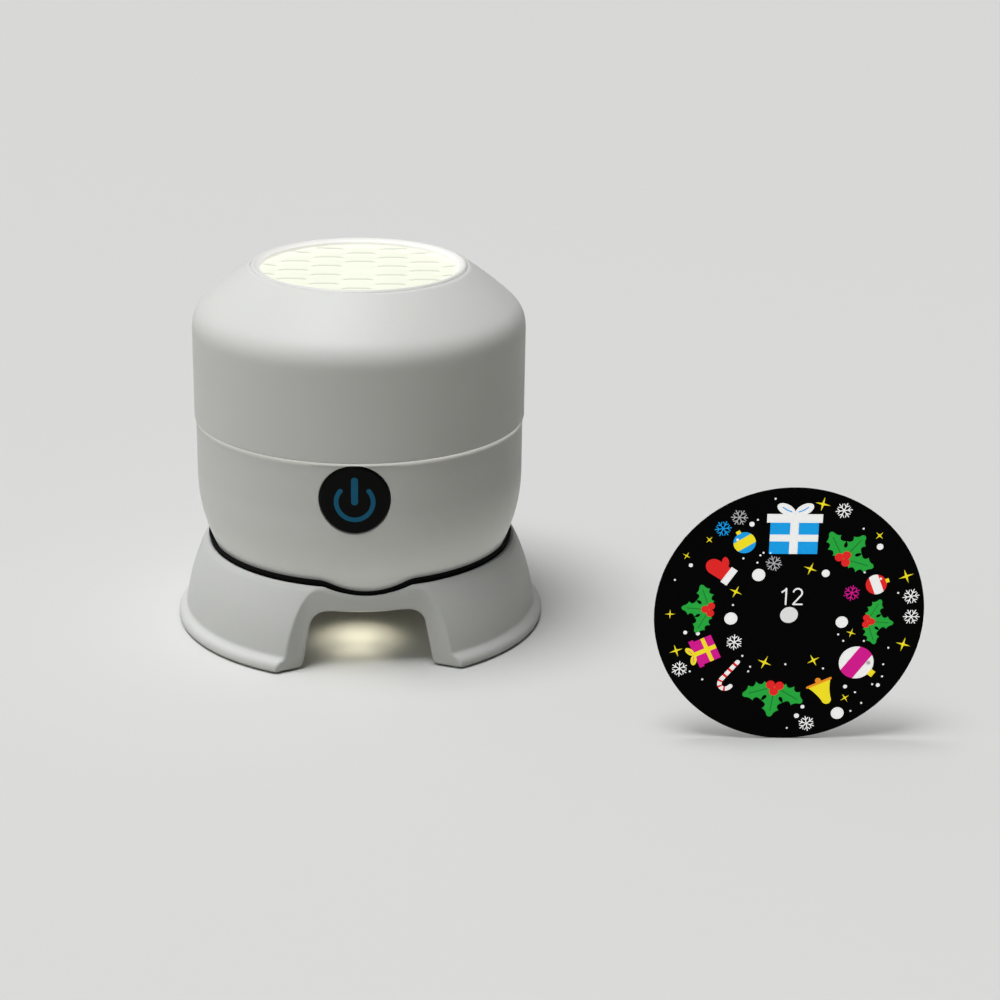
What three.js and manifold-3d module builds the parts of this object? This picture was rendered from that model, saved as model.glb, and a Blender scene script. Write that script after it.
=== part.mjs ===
// Rotating motion lamp: a round projector lamp that rests in a two-arched stand, with a
// lift-off cover, a honeycomb lens and a motor-turned picture disc. Millimetres, +Z up,
// the button faces -Y.

import * as THREE from "three";
import { mergeVertices } from "three/addons/utils/BufferGeometryUtils.js";
import Module from "manifold-3d";

const wasm = await Module();
wasm.setup();

// Counts
const shellSteps = 40;
const midSteps = 32;
const canSteps = 18;
const pinSteps = 12;
const screwSteps = 8;
const bowlRings = 5;
const hexSides = 6;
const slopeSteps = 10;
const innerSlopeSteps = 7;
const cornerSteps = 5;
const roundSteps = 4;
const slotSteps = 6;
const domeSteps = 2;
const plainToothCount = 20;

// Clearances
const gap = 0.3;
const runningGap = 0.4;
const cutOverrun = 6;
const mergeTolerance = 1e-4;

// Cover and lens
const bodyRadius = 50;
const skirtHeight = 18;
const wallRise = 24;
const slopeRise = 22.4;
const slopeReach = 17;
const coverWall = 2;
const rimPullOut = 11;
const rimPullDown = 4.1;
const shoulderPull = 6.5;
const bezelRise = 0.8;
const bezelWidth = 1.8;
const bezelDepth = 3.7;
const bezelSeat = 0.4;
const lensRecess = 2;
const lensFlange = 1;
const lensFlangeReach = 1.5;
const lensPlate = 1.5;
const lensLedge = 1.5;
const lensLedgeReach = 3;
const cellAcrossFlats = 11.3;
const cellRise = 0.9;
const cellGroove = 0.25;
const cellShoulderShare = 0.66;

// Lower shell
const skirtStep = 0.5;
const shellWall = 2;
const bowlDepth = 33;
const bowlFloorHeight = 14;
const neckHeight = 4.2;
const neckWall = 1.8;
const neckDrop = 5;
const windowLand = 9.2;
const windowFlangeReach = 2.6;
const windowFlange = 1.2;
const screwPostRadius = 3.2;
const screwPostInset = 6.4;
const screwPostTurns = [50, 115, 215, 320];
const screwHoleRadius = 1.4;
const screwHoleDepth = 12;

// Stand
const standTurn = 4.5;
const crestHeight = 26.6;
const crestLand = 0.5;
const liningThickness = 0.9;
const liningRise = 0.4;
const seatDepth = 11;
const footReach = 9.4;
const footLift = 0.5;
const footBeadHeight = 3.2;
const footBeadReach = 2.6;
const beadSeatShare = 1 / 3;
const beadTurn = 80;
const footBoreInset = 12;
const seatLip = 2.4;
const wallBelly = 1.5;
const bridgeInset = 1.74;
const facetStart = 18.7;
const facetSlope = 0.45;
const archHeight = 18;
const archFootHalfWidth = 19.4;
const archTopHalfWidth = 16.9;
const archCorner = 5;
const archCornerStart = 8;
const archCornerEnd = 84;
const archBridgeSag = 0.4;
const padThickness = 1.2;
const padWidth = 4;
const padInset = 1.8;
const padEndGap = 7.6;

// Button
const buttonRadius = 10.1;
const buttonLand = 0.45;
const buttonGap = 0.25;
const buttonProud = 0.3;
const buttonTravel = 1;
const buttonFlange = 1;
const buttonFlangeReach = 0.8;
const switchSize = 6;
const switchDepth = 3.5;
const plungerRadius = 1.7;
const plungerLength = 3.6;
const plungerSeat = 0.7;
const switchBoardSize = 20;
const boardThickness = 1.6;
const bracketWall = 1.5;
const bracketTab = 8;

// Deck and drive
const deckDrop = 7;
const deckThickness = 2;
const gearModule = 0.8;
const pressureAngle = 25;
const pinionTeeth = 12;
const wheelTeeth = 36;
const smallWheelTeeth = 12;
const hubTeeth = 42;
const addendumShare = 0.85;
const dedendumShare = 1.15;
const backlashShare = 0.16;
const gearFace = 3;
const wheelFace = 2;
const idlerTurn = 180;
const pinionTurn = 110;
const axleRadius = 1.5;
const spindleRadius = 2;
const bushWall = 2;
const bushFlange = 1;
const motorRadius = 10.5;
const motorLength = 18;
const motorBossRadius = 3.5;
const motorShaftRadius = 1;
const motorShaftSeat = 6;
const motorScrewSpacing = 16;
const screwHeadRadius = 2.4;
const screwHeadHeight = 1.4;
const screwCrownShare = 0.7;
const screwRadius = 1;
const screwLength = 8;
const motorScrewLength = 4;

// Light, reflector and turntable
const boardPostRise = 10;
const ledBoardInset = 3.2;
const ledBoardBore = 7;
const boardPostRadius = 2.6;
const boardPegRadius = 1.3;
const boardPostInset = 5.8;
const boardPostTurns = [0, 100, 240];
const ledCount = 6;
const ledCircle = 26;
const ledSize = 5;
const ledBase = 1.2;
const ledDomeRadius = 2.1;
const reflectorWall = 1;
const reflectorInset = 1.4;
const reflectorSlope = 7.6;
const reflectorRise = 8;
const turntableRise = 12.4;
const turntableLip = 1.2;
const turntablePlate = 1.6;
const turntableHub = 9;
const turntableHubDepth = 6;
const discRadius = 37;
const discThickness = 0.8;
const discBoreRadius = 2.45;
const capRadius = 4.4;
const capHeight = 3.6;
const spindleNose = 2.4;

// Base light, battery and boards
const glowWall = 1.8;
const glowRise = 3.4;
const baseBoardInset = 1.1;
const baseLedCount = 4;
const baseLedCircle = 13;
const batteryRadius = 9.1;
const batteryLength = 65;
const batteryNib = 1;
const batteryNibRadius = 3;
const batteryOffset = -6;
const trayWall = 1.5;
const traySideRise = 7;
const mainBoardWidth = 27;
const mainBoardDepth = 25;
const mainBoardInset = 4.5;
const mainBoardCentre = 3;
const mainBoardDrop = 4;
const mainPostRadius = 2.2;
const chipSize = 9;
const chipThickness = 1.2;
const usbWidth = 9;
const usbThickness = 3.3;
const usbDepth = 7.6;
const usbMouthWidth = 8;
const usbMouthThickness = 2.3;
const usbMouthDepth = 6;

// Spare disc, standing on its edge beside the lamp
const spareDiscPlace = [120, -92];

// Radii and heights worked out from the sizes above
const bowlCentreHeight = bowlFloorHeight + bowlDepth;
const seamHeight = bowlCentreHeight + skirtHeight;
const shoulderHeight = seamHeight + wallRise;
const totalHeight = shoulderHeight + slopeRise;
const rimRadius = bodyRadius - slopeReach;
const bowlRadius = bodyRadius - skirtStep;
const shellInner = bowlRadius - shellWall;
const coverInner = bodyRadius - coverWall;
const neckRadius = coverInner - runningGap;
const neckInner = neckRadius - neckWall;
const shellTop = seamHeight - gap;
const neckTop = shellTop + neckHeight;
const seatSphere = bowlRadius + gap + liningThickness + gap;
const liningOuter = seatSphere - gap;
const liningInner = liningOuter - liningThickness;
const sphereRadiusAt = (sphere, z) => Math.sqrt(sphere ** 2 - (bowlCentreHeight - z) ** 2);
const crestInner = sphereRadiusAt(seatSphere, crestHeight);
const crestOuter = crestInner + crestLand;
const footRadius = crestOuter + footReach;
const seatBottom = crestHeight - seatDepth;
const windowRadius = sphereRadiusAt(bowlRadius, bowlFloorHeight) - windowLand;
const baseBoardRadius = windowRadius - baseBoardInset;
const mainBoardEdge = shellInner - mainBoardInset;
const deckHeight = seamHeight - deckDrop;
const deckTop = deckHeight + deckThickness;
const deckRadius = neckInner - runningGap;
const screwPostCircle = deckRadius - screwPostInset;
const rimTop = totalHeight - bezelRise;
const lensTop = totalHeight - lensRecess;
const bezelOuter = rimRadius - bezelSeat;
const lensRadius = bezelOuter - bezelWidth;
const lensPlateBase = lensTop - cellRise - lensPlate;
const lensFlangeRadius = lensRadius + lensFlangeReach;
const hubPitch = gearModule * hubTeeth / 2;
const wheelPitch = gearModule * wheelTeeth / 2;
const smallWheelPitch = gearModule * smallWheelTeeth / 2;
const pinionPitch = gearModule * pinionTeeth / 2;
const gearBase = deckTop + screwHeadHeight + 2 * gap;
const ledBoardHeight = deckTop + boardPostRise;
const ledBoardTop = ledBoardHeight + boardThickness;
const ledBoardRadius = coverInner - ledBoardInset;
const boardPostCircle = ledBoardRadius - boardPostInset;
const reflectorRadius = coverInner - reflectorInset;
const reflectorFlat = reflectorRadius - reflectorSlope;
const turntableHeight = ledBoardTop + turntableRise;
const spindleBottom = deckHeight - bushFlange;
const spindleTop = turntableHeight + turntablePlate + gap + discThickness + spindleNose;
const glowBase = bowlFloorHeight + shellWall + gap + windowFlange + gap;
const glowTop = glowBase + glowRise;
const baseBoardBottom = glowTop + gap;
const trayBottom = baseBoardBottom + boardThickness + gap;
const batteryHeight = trayBottom + trayWall + gap + batteryRadius;

const buttonHeight = shellTop - buttonLand - buttonGap - buttonRadius;
const buttonFlangeRadius = buttonRadius + buttonFlangeReach;
const flangeFront = Math.sqrt(neckInner ** 2 - buttonFlangeRadius ** 2) - gap;
const flangeBack = flangeFront - buttonFlange;

const radians = THREE.MathUtils.degToRad;
const around = (radius, turn) => [radius * Math.cos(radians(turn)), radius * Math.sin(radians(turn))];

// Materials
const finish = (color, roughness, metalness = 0) =>
  new THREE.MeshStandardMaterial({ color, roughness, metalness });
const whitePlastic = finish(0xdcdcda, 0.45);
const innerWhite = finish(0xeeeeea, 0.4);
const clearPlastic = finish(0xdfe8ea, 0.1);
clearPlastic.transparent = true;
clearPlastic.opacity = 0.35;
const blackRubber = finish(0x141414, 0.85);
const blackGloss = finish(0x0c0c0b, 0.2);
const lensGlow = finish(0xfffff0, 0.35);
lensGlow.emissive = new THREE.Color(0xfff6dc);
const filmBlack = finish(0x101012, 0.3);
const steel = finish(0xb4b6b8, 0.35, 0.9);
const brass = finish(0xc2a055, 0.35, 0.9);
const gearPlastic = finish(0xe6e2d4, 0.5);
const boardGreen = finish(0x1f5b3a, 0.5);
const boardWhite = finish(0xf2f2ee, 0.5);
const ledYellow = finish(0xf3d56a, 0.3);
const wrapBlue = finish(0x2a62a8, 0.4);
const chipBlack = finish(0x18181a, 0.5);

// Closed geometry to a solid, and back again
function toSolid(geometry) {
  const bare = geometry.clone();
  bare.deleteAttribute("normal");
  bare.deleteAttribute("uv");
  const merged = mergeVertices(bare, mergeTolerance);
  const index = merged.index.array;
  const place = merged.attributes.position.array;
  const point = (i) => new THREE.Vector3().fromArray(place, 3 * i);
  const corners = [];
  let volume = 0;
  for (let i = 0; i < index.length; i += 3) {
    const [a, b, c] = [index[i], index[i + 1], index[i + 2]];
    if (a !== b && b !== c && c !== a) {
      corners.push(a, b, c);
      volume += point(a).dot(point(b).cross(point(c)));
    }
  }
  if (volume < 0) corners.reverse();
  const vertProperties = new Float32Array(place);
  const triVerts = new Uint32Array(corners);
  return new wasm.Manifold(new wasm.Mesh({ numProp: 3, vertProperties, triVerts }));
}

function toGeometry(solid) {
  const mesh = solid.getMesh();
  const geometry = new THREE.BufferGeometry();
  geometry.setAttribute("position", new THREE.BufferAttribute(mesh.vertProperties, 3));
  geometry.setIndex(new THREE.BufferAttribute(mesh.triVerts, 1));
  geometry.computeVertexNormals();
  return geometry;
}

// Builders
const closed = (points) => [...points, points[0]];

// A profile of [radius, height] points, turned about the Z axis
function revolve(points, steps = shellSteps) {
  const profile = points.map(([r, z]) => new THREE.Vector2(r, z));
  return toSolid(new THREE.LatheGeometry(profile, steps).rotateX(Math.PI / 2));
}

const rod = (radius, bottom, top, steps = pinSteps) =>
  revolve([[0, bottom], [radius, bottom], [radius, top], [0, top]], steps);

// A round cutter whose flats, not its corners, lie at the radius
const flatRadius = (radius, steps) => radius / Math.cos(Math.PI / steps);
const drill = (radius, bottom, top, steps = pinSteps) =>
  rod(flatRadius(radius, steps), bottom, top, steps);

const tube = (inner, outer, bottom, top, steps = pinSteps) =>
  revolve(closed([[inner, bottom], [outer, bottom], [outer, top], [inner, top]]), steps);

// A flat outline raised from bottom to top
function prism(outline, bottom, top, hole = null) {
  const shape = new THREE.Shape(outline.map(([x, y]) => new THREE.Vector2(x, y)));
  if (hole) shape.holes.push(new THREE.Path(hole.map(([x, y]) => new THREE.Vector2(x, y))));
  const options = { depth: top - bottom, bevelEnabled: false };
  return toSolid(new THREE.ExtrudeGeometry(shape, options)).translate(0, 0, bottom);
}

function block(width, depth, bottom, top) {
  const geometry = new THREE.BoxGeometry(width, depth, top - bottom);
  return toSolid(geometry).translate(0, 0, (bottom + top) / 2);
}

// Points of an arc from one angle to another, in degrees
function arc(x, y, radius, from, to, count) {
  const points = [];
  for (let i = 0; i <= count; i++) {
    const turn = radians(from + (to - from) * i / count);
    points.push([x + radius * Math.cos(turn), y + radius * Math.sin(turn)]);
  }
  return points;
}

// Points along a sphere about the bowl's centre, between two heights
function sphereRun(sphere, fromHeight, toHeight, count = bowlRings) {
  const from = Math.asin((fromHeight - bowlCentreHeight) / sphere);
  const to = Math.asin((toHeight - bowlCentreHeight) / sphere);
  const points = [];
  for (let i = 0; i <= count; i++) {
    const turn = from + (to - from) * i / count;
    points.push([sphere * Math.cos(turn), bowlCentreHeight + sphere * Math.sin(turn)]);
  }
  return points;
}

// The cover's outer line from rim to wall, one smooth curve, moved inward by the inset
function coverLine(inset, count) {
  const curve = new THREE.CubicBezierCurve(
    new THREE.Vector2(rimRadius, rimTop),
    new THREE.Vector2(rimRadius + rimPullOut, rimTop - rimPullDown),
    new THREE.Vector2(bodyRadius, shoulderHeight + shoulderPull),
    new THREE.Vector2(bodyRadius, shoulderHeight),
  );
  const points = [];
  for (let i = 0; i <= count; i++) {
    const along = curve.getTangent(i / count);
    const out = new THREE.Vector2(-along.y, along.x);
    points.push(curve.getPoint(i / count).addScaledVector(out, -inset).toArray());
  }
  return points;
}

// Half the angle that a tooth fills at a radius, on an involute flank
function toothHalfAngle(teeth, radius) {
  const pitch = gearModule * teeth / 2;
  const pressure = radians(pressureAngle);
  const base = pitch * Math.cos(pressure);
  const involute = (angle) => Math.tan(angle) - angle;
  const at = Math.acos(base / Math.max(radius, base));
  const middle = Math.PI / (2 * teeth) - backlashShare * gearModule / (2 * pitch);
  return middle + involute(pressure) - involute(at);
}

// A spur gear with a tooth centred on the given direction
function gear(teeth, bottom, top, bore, phase = 0) {
  const pitch = gearModule * teeth / 2;
  const tip = pitch + addendumShare * gearModule;
  const root = pitch - dedendumShare * gearModule;
  const radii = teeth > plainToothCount ? [root, tip] : [root, pitch, tip];
  const outline = [];
  for (let tooth = 0; tooth < teeth; tooth++) {
    const middle = radians(phase) + 2 * Math.PI * tooth / teeth;
    const flank = radii.map((r) => [r, toothHalfAngle(teeth, r)]);
    const rising = flank.map(([r, half]) => [r, middle - half]);
    const falling = flank.map(([r, half]) => [r, middle + half]).reverse();
    for (const [r, turn] of [...rising, ...falling]) {
      outline.push([r * Math.cos(turn), r * Math.sin(turn)]);
    }
  }
  const hole = arc(0, 0, flatRadius(bore, pinSteps), 360 - 360 / pinSteps, 0, pinSteps - 1);
  return prism(outline, bottom, top, hole);
}

const set = new THREE.Group();
const standGroup = new THREE.Group();
const lampGroup = new THREE.Group();
standGroup.rotation.z = radians(standTurn);
set.add(standGroup, lampGroup);

function addPiece(group, name, solid, material, place = [0, 0, 0]) {
  const mesh = new THREE.Mesh(toGeometry(solid), material);
  mesh.name = name;
  mesh.position.fromArray(place);
  group.add(mesh);
  return mesh;
}

// Stand: two flared legs under a spherical seat. In front and behind, an upright bridge face
// and a turned facet on each side of it cut the ring, and the arch goes through
function faceCutter() {
  const far = footRadius + cutOverrun;
  const bridge = crestOuter - bridgeInset;
  const side = bridge + facetSlope * (far - facetStart);
  const outline = [[-facetStart, bridge], [facetStart, bridge], [far, side], [far, far + cutOverrun],
    [-far, far + cutOverrun], [-far, side]];
  const cutter = prism(outline, -cutOverrun, crestHeight + cutOverrun);
  return cutter.add(cutter.rotate([0, 0, 180]));
}

function archCutter() {
  const top = archTopHalfWidth;
  const centre = [top - archCorner, archHeight - archCorner];
  const corner = arc(...centre, archCorner, archCornerStart, archCornerEnd, cornerSteps);
  const right = [[archFootHalfWidth, -cutOverrun], [archFootHalfWidth, footLift], ...corner];
  const left = right.map(([x, z]) => [-x, z]).reverse();
  const crown = [[0, archHeight - archBridgeSag]];
  const far = footRadius + cutOverrun;
  return prism([...right, ...crown, ...left], -far, far).rotate([90, 0, 0]);
}

function padRing(inner, outer, bottom, top) {
  return tube(inner, outer, bottom, top, shellSteps);
}

const padOuter = footRadius - padInset;
const padInner = padOuter - padWidth;

// The way between the pads, left solid in the foot and drawn in by an end clearance
function padWay(clearance) {
  const width = 2 * (archFootHalfWidth + padEndGap - clearance);
  const depth = 2 * (footRadius + cutOverrun);
  return block(width, depth, -2 * cutOverrun, padThickness + cutOverrun);
}

function makeStand() {
  const beadTop = footLift + footBeadHeight;
  const wallFoot = footRadius - footBeadReach;
  const wall = new THREE.QuadraticBezierCurve(
    new THREE.Vector2(wallFoot, beadTop + footBeadHeight / 2),
    new THREE.Vector2(wallFoot - wallBelly, (crestHeight + beadTop) / 2 + wallBelly),
    new THREE.Vector2(crestOuter, crestHeight),
  );
  const beadSeat = footLift + beadSeatShare * footBeadHeight;
  const bead = arc(wallFoot, beadSeat, footBeadReach, 0, beadTurn, roundSteps);
  const side = wall.getPoints(cornerSteps).map((point) => [point.x, point.y]);
  const seat = sphereRun(seatSphere, crestHeight, seatBottom, bowlRings - 1);
  const bore = footRadius - footBoreInset;
  const body = revolve(closed([
    [bore, footLift], [footRadius, footLift], ...bead, ...side, ...seat,
    [sphereRadiusAt(seatSphere, seatBottom), seatBottom - seatLip],
  ]));
  const ring = padRing(padInner - gap, padOuter + gap, -cutOverrun, padThickness + gap);
  const groove = ring.subtract(padWay(gap));
  return body.subtract(groove).subtract(faceCutter()).subtract(archCutter());
}

function makeLining() {
  const rings = bowlRings - 2;
  const inner = sphereRun(liningInner, seatBottom + gap, crestHeight + liningRise, rings);
  const outer = sphereRun(liningOuter, crestHeight + liningRise, seatBottom + gap, rings);
  return revolve(closed([...inner, ...outer])).subtract(faceCutter());
}

function makePads() {
  return padRing(padInner, padOuter, 0, padThickness).subtract(padWay(0)).decompose();
}

addPiece(standGroup, "stand", makeStand(), whitePlastic);
addPiece(standGroup, "seat_lining", makeLining(), blackRubber);
for (const pad of makePads()) {
  const side = pad.boundingBox().min[0] < 0 ? "left" : "right";
  addPiece(standGroup, `foot_pad_${side}`, pad, blackRubber);
}

// Lower shell: a straight wall over a spherical bowl, a neck for the cover, four posts
function makeLowerShell() {
  const innerFloor = bowlFloorHeight + shellWall;
  const opening = windowRadius + gap;
  const outside = sphereRun(bowlRadius, bowlFloorHeight, bowlCentreHeight, bowlRings + 1);
  const inside = sphereRun(shellInner, bowlCentreHeight, innerFloor, bowlRings - 1);
  const body = revolve(closed([
    [opening, bowlFloorHeight], ...outside, [bowlRadius, shellTop], [neckRadius, shellTop],
    [neckRadius, neckTop], [neckInner, neckTop], [neckInner, shellTop - neckDrop],
    [shellInner, shellTop - neckDrop - shellWall], ...inside, [opening, innerFloor],
  ]));
  const shellCore = revolve([
    [0, innerFloor], ...sphereRun(shellInner + shellWall / 2, innerFloor, bowlCentreHeight),
    [shellInner + shellWall / 2, deckHeight], [0, deckHeight],
  ]);
  let shell = body;
  for (const turn of screwPostTurns) {
    const [x, y] = around(screwPostCircle, turn);
    const post = rod(screwPostRadius, bowlFloorHeight, deckHeight - gap).translate(x, y, 0);
    shell = shell.add(post.intersect(shellCore));
  }
  for (const turn of screwPostTurns) {
    const [x, y] = around(screwPostCircle, turn);
    const hole = drill(screwHoleRadius, deckHeight - screwHoleDepth, deckHeight + gap, screwSteps);
    shell = shell.subtract(hole.translate(x, y, 0));
  }
  const [cutBack, cutFront] = [neckInner - cutOverrun, bowlRadius + cutOverrun];
  const buttonHole = drill(buttonRadius + buttonGap, cutBack, cutFront, midSteps);
  const usbSlot = block(usbWidth + 2 * gap, usbThickness + 2 * gap, cutBack, cutFront);
  shell = shell.subtract(buttonHole.rotate([90, 0, 0]).translate(0, 0, buttonHeight));
  return shell.subtract(usbSlot.rotate([-90, 0, 0]).translate(mainBoardCentre, 0, usbMiddle));
}

const mainBoardTop = deckHeight - mainBoardDrop - gap;
const mainBoardBottom = mainBoardTop - boardThickness;
const usbMiddle = mainBoardBottom - gap - usbThickness / 2;

addPiece(lampGroup, "lower_shell", makeLowerShell(), whitePlastic);

// Base light: window, glow ring and the board with its LEDs facing down
const windowTop = bowlFloorHeight + shellWall + gap + windowFlange;
const bottomWindow = revolve([
  [0, bowlFloorHeight], [windowRadius, bowlFloorHeight], [windowRadius, windowTop - windowFlange],
  [windowRadius + windowFlangeReach, windowTop - windowFlange],
  [windowRadius + windowFlangeReach, windowTop], [0, windowTop],
], midSteps);
addPiece(lampGroup, "bottom_window", bottomWindow, lensGlow);
const glowRing = tube(baseBoardRadius - glowWall, baseBoardRadius, glowBase, glowTop, midSteps);
addPiece(lampGroup, "glow_ring", glowRing, innerWhite);
const baseBoard = rod(baseBoardRadius, baseBoardBottom, baseBoardBottom + boardThickness, midSteps);
addPiece(lampGroup, "base_light_board", baseBoard, boardWhite);

// An LED: a square base and a low dome, its base at height zero
function makeLed() {
  const dome = [...arc(0, ledBase, ledDomeRadius, 90, 0, domeSteps), [ledDomeRadius, 0], [0, 0]];
  return block(ledSize, ledSize, 0, ledBase).add(revolve(dome, screwSteps));
}

for (let i = 0; i < baseLedCount; i++) {
  const [x, y] = around(baseLedCircle, 360 * (i + 1 / 2) / baseLedCount);
  const led = makeLed().rotate([180, 0, 0]);
  addPiece(lampGroup, `base_led_${i + 1}`, led, ledYellow, [x, y, baseBoardBottom - gap]);
}

// Battery in its tray
const nib = rod(batteryNibRadius, batteryLength / 2 - gap, batteryLength / 2 + batteryNib);
const battery = rod(batteryRadius, -batteryLength / 2, batteryLength / 2, canSteps).add(nib);
addPiece(lampGroup, "battery", battery.rotate([0, 90, 0]), wrapBlue, [0, batteryOffset, batteryHeight]);

function makeBatteryTray() {
  const half = batteryRadius + gap + trayWall;
  const bed = block(batteryLength, 2 * half, trayBottom, batteryHeight - batteryRadius + traySideRise);
  const cell = rod(batteryRadius + gap, -batteryLength, batteryLength, canSteps).rotate([0, 90, 0]);
  return bed.subtract(cell.translate(0, 0, batteryHeight));
}
addPiece(lampGroup, "battery_tray", makeBatteryTray(), innerWhite, [0, batteryOffset, 0]);

// Deck: the chassis plate on the four posts
const idlerPlace = around(hubPitch + smallWheelPitch, idlerTurn);
const pinionReach = around(wheelPitch + pinionPitch, pinionTurn);
const pinionPlace = [idlerPlace[0] + pinionReach[0], idlerPlace[1] + pinionReach[1]];
const mainPostPlaces = [-1, 1].map((side) => [
  mainBoardCentre + side * (mainBoardWidth / 2 - mainPostRadius),
  mainBoardEdge - mainBoardDepth + mainPostRadius,
]);
const motorScrewPlaces = [-1, 1].map((side) => [
  pinionPlace[0] + side * motorScrewSpacing / 2, pinionPlace[1],
]);

function makeDeck() {
  let deck = rod(deckRadius, deckHeight, deckTop, midSteps);
  for (const [x, y] of mainPostPlaces) {
    deck = deck.add(rod(mainPostRadius, mainBoardTop + gap, deckHeight + gap).translate(x, y, 0));
  }
  const holes = [
    [[0, 0], spindleRadius + gap + bushWall + gap],
    [pinionPlace, motorBossRadius + gap],
    [idlerPlace, axleRadius + gap],
    ...screwPostTurns.map((turn) => [around(screwPostCircle, turn), screwHoleRadius]),
    ...boardPostTurns.map((turn) => [around(boardPostCircle, turn), boardPegRadius + gap]),
    ...motorScrewPlaces.map((place) => [place, screwHoleRadius]),
  ];
  for (const [[x, y], radius] of holes) {
    const hole = drill(radius, deckHeight - cutOverrun, deckTop + cutOverrun, screwSteps);
    deck = deck.subtract(hole.translate(x, y, 0));
  }
  const notchDepth = deckRadius - flangeBack + buttonTravel + gap;
  const notch = block(2 * (buttonFlangeRadius + gap), 2 * notchDepth, deckHeight - gap, deckTop + gap);
  return deck.subtract(notch.translate(0, -deckRadius, 0));
}
addPiece(lampGroup, "deck", makeDeck(), innerWhite);

// A pan-head screw, the underside of its head at height zero
function makeScrew(length) {
  const shoulder = screwCrownShare * screwHeadRadius;
  return revolve([
    [0, -length], [screwRadius, -length], [screwRadius, 0], [screwHeadRadius, 0],
    [screwHeadRadius, screwHeadHeight / 2], [shoulder, screwHeadHeight], [0, screwHeadHeight],
  ], screwSteps);
}

screwPostTurns.forEach((turn, i) => {
  const [x, y] = around(screwPostCircle, turn);
  addPiece(lampGroup, `deck_screw_${i + 1}`, makeScrew(screwLength), steel, [x, y, deckTop + gap]);
});

// Main board under the deck, with its chip and the charging socket
function makeMainBoard() {
  const board = block(mainBoardWidth, mainBoardDepth, mainBoardBottom, mainBoardTop);
  return board.translate(mainBoardCentre, mainBoardEdge - mainBoardDepth / 2, 0);
}
addPiece(lampGroup, "main_board", makeMainBoard(), boardGreen);
const chip = block(chipSize, chipSize, -chipThickness, 0);
const chipMiddle = mainBoardEdge - mainBoardDepth / 2 - chipSize / 2;
const chipPlace = [mainBoardCentre, chipMiddle, mainBoardBottom - gap];
addPiece(lampGroup, "control_chip", chip, chipBlack, chipPlace);

// A rounded slot outline, wider than it is tall
function slotOutline(width, height) {
  const reach = (width - height) / 2;
  const right = arc(reach, 0, height / 2, -90, 90, slotSteps);
  return [...right, ...arc(-reach, 0, height / 2, 90, 270, slotSteps)];
}

function makeUsbSocket() {
  const back = shellInner + shellWall / 2 - usbDepth;
  const front = shellInner + shellWall / 2;
  const can = prism(slotOutline(usbWidth, usbThickness), back, front);
  const mouth = prism(slotOutline(usbMouthWidth, usbMouthThickness), front - usbMouthDepth, front + gap);
  return can.subtract(mouth).rotate([-90, 0, 0]);
}
addPiece(lampGroup, "usb_socket", makeUsbSocket(), steel, [mainBoardCentre, 0, usbMiddle]);

// Drive train: motor, pinion, reduction gear and hub gear
function makeMotor() {
  const top = deckHeight - gap;
  const back = top - motorLength;
  const can = revolve([
    [0, back], [motorRadius - gap, back], [motorRadius, back + gap], [motorRadius, top],
    [motorBossRadius, top], [motorBossRadius, deckTop], [0, deckTop],
  ], canSteps);
  const bore = drill(motorShaftRadius + gap, top - motorShaftSeat, deckTop + gap, screwSteps);
  let motor = can.subtract(bore);
  for (const side of [-1, 1]) {
    const hole = drill(screwRadius + gap, top - motorScrewLength, top + gap, screwSteps);
    motor = motor.subtract(hole.translate(side * motorScrewSpacing / 2, 0, 0));
  }
  return motor;
}
const wheelBase = gearBase + gearFace + gap;
const wheelTop = wheelBase + wheelFace;
addPiece(lampGroup, "motor", makeMotor(), steel, [...pinionPlace, 0]);
motorScrewPlaces.forEach((place, i) => {
  const screw = makeScrew(motorScrewLength);
  addPiece(lampGroup, `motor_screw_${i + 1}`, screw, steel, [...place, deckTop + gap]);
});
const motorShaft = rod(motorShaftRadius, deckHeight - motorShaftSeat, wheelTop + gap, screwSteps);
addPiece(lampGroup, "motor_shaft", motorShaft, steel, [...pinionPlace, 0]);

// Teeth meet gaps on each line of centres at rest
const toothPitch = (teeth) => 360 / teeth;
const pinionPhase = pinionTurn + 180 + toothPitch(pinionTeeth) / 2;
const hubPhase = idlerTurn + toothPitch(hubTeeth) / 2;
const motorPinion = gear(pinionTeeth, gearBase, wheelTop, motorShaftRadius + gap, pinionPhase);
addPiece(lampGroup, "motor_pinion", motorPinion, brass, [...pinionPlace, 0]);

function makeReductionGear() {
  const bore = axleRadius + gap;
  const wheel = gear(wheelTeeth, wheelBase, wheelTop, bore, pinionTurn);
  const small = gear(smallWheelTeeth, gearBase, wheelBase + gap, bore, idlerTurn + 180);
  return wheel.add(small);
}
addPiece(lampGroup, "reduction_gear", makeReductionGear(), gearPlastic, [...idlerPlace, 0]);
const idlerAxle = revolve([
  [0, deckHeight], [axleRadius, deckHeight], [axleRadius, wheelTop + 2 * gap],
  [axleRadius - gap, wheelTop + 3 * gap], [0, wheelTop + 3 * gap],
], pinSteps);
addPiece(lampGroup, "idler_axle", idlerAxle, steel, [...idlerPlace, 0]);

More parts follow.
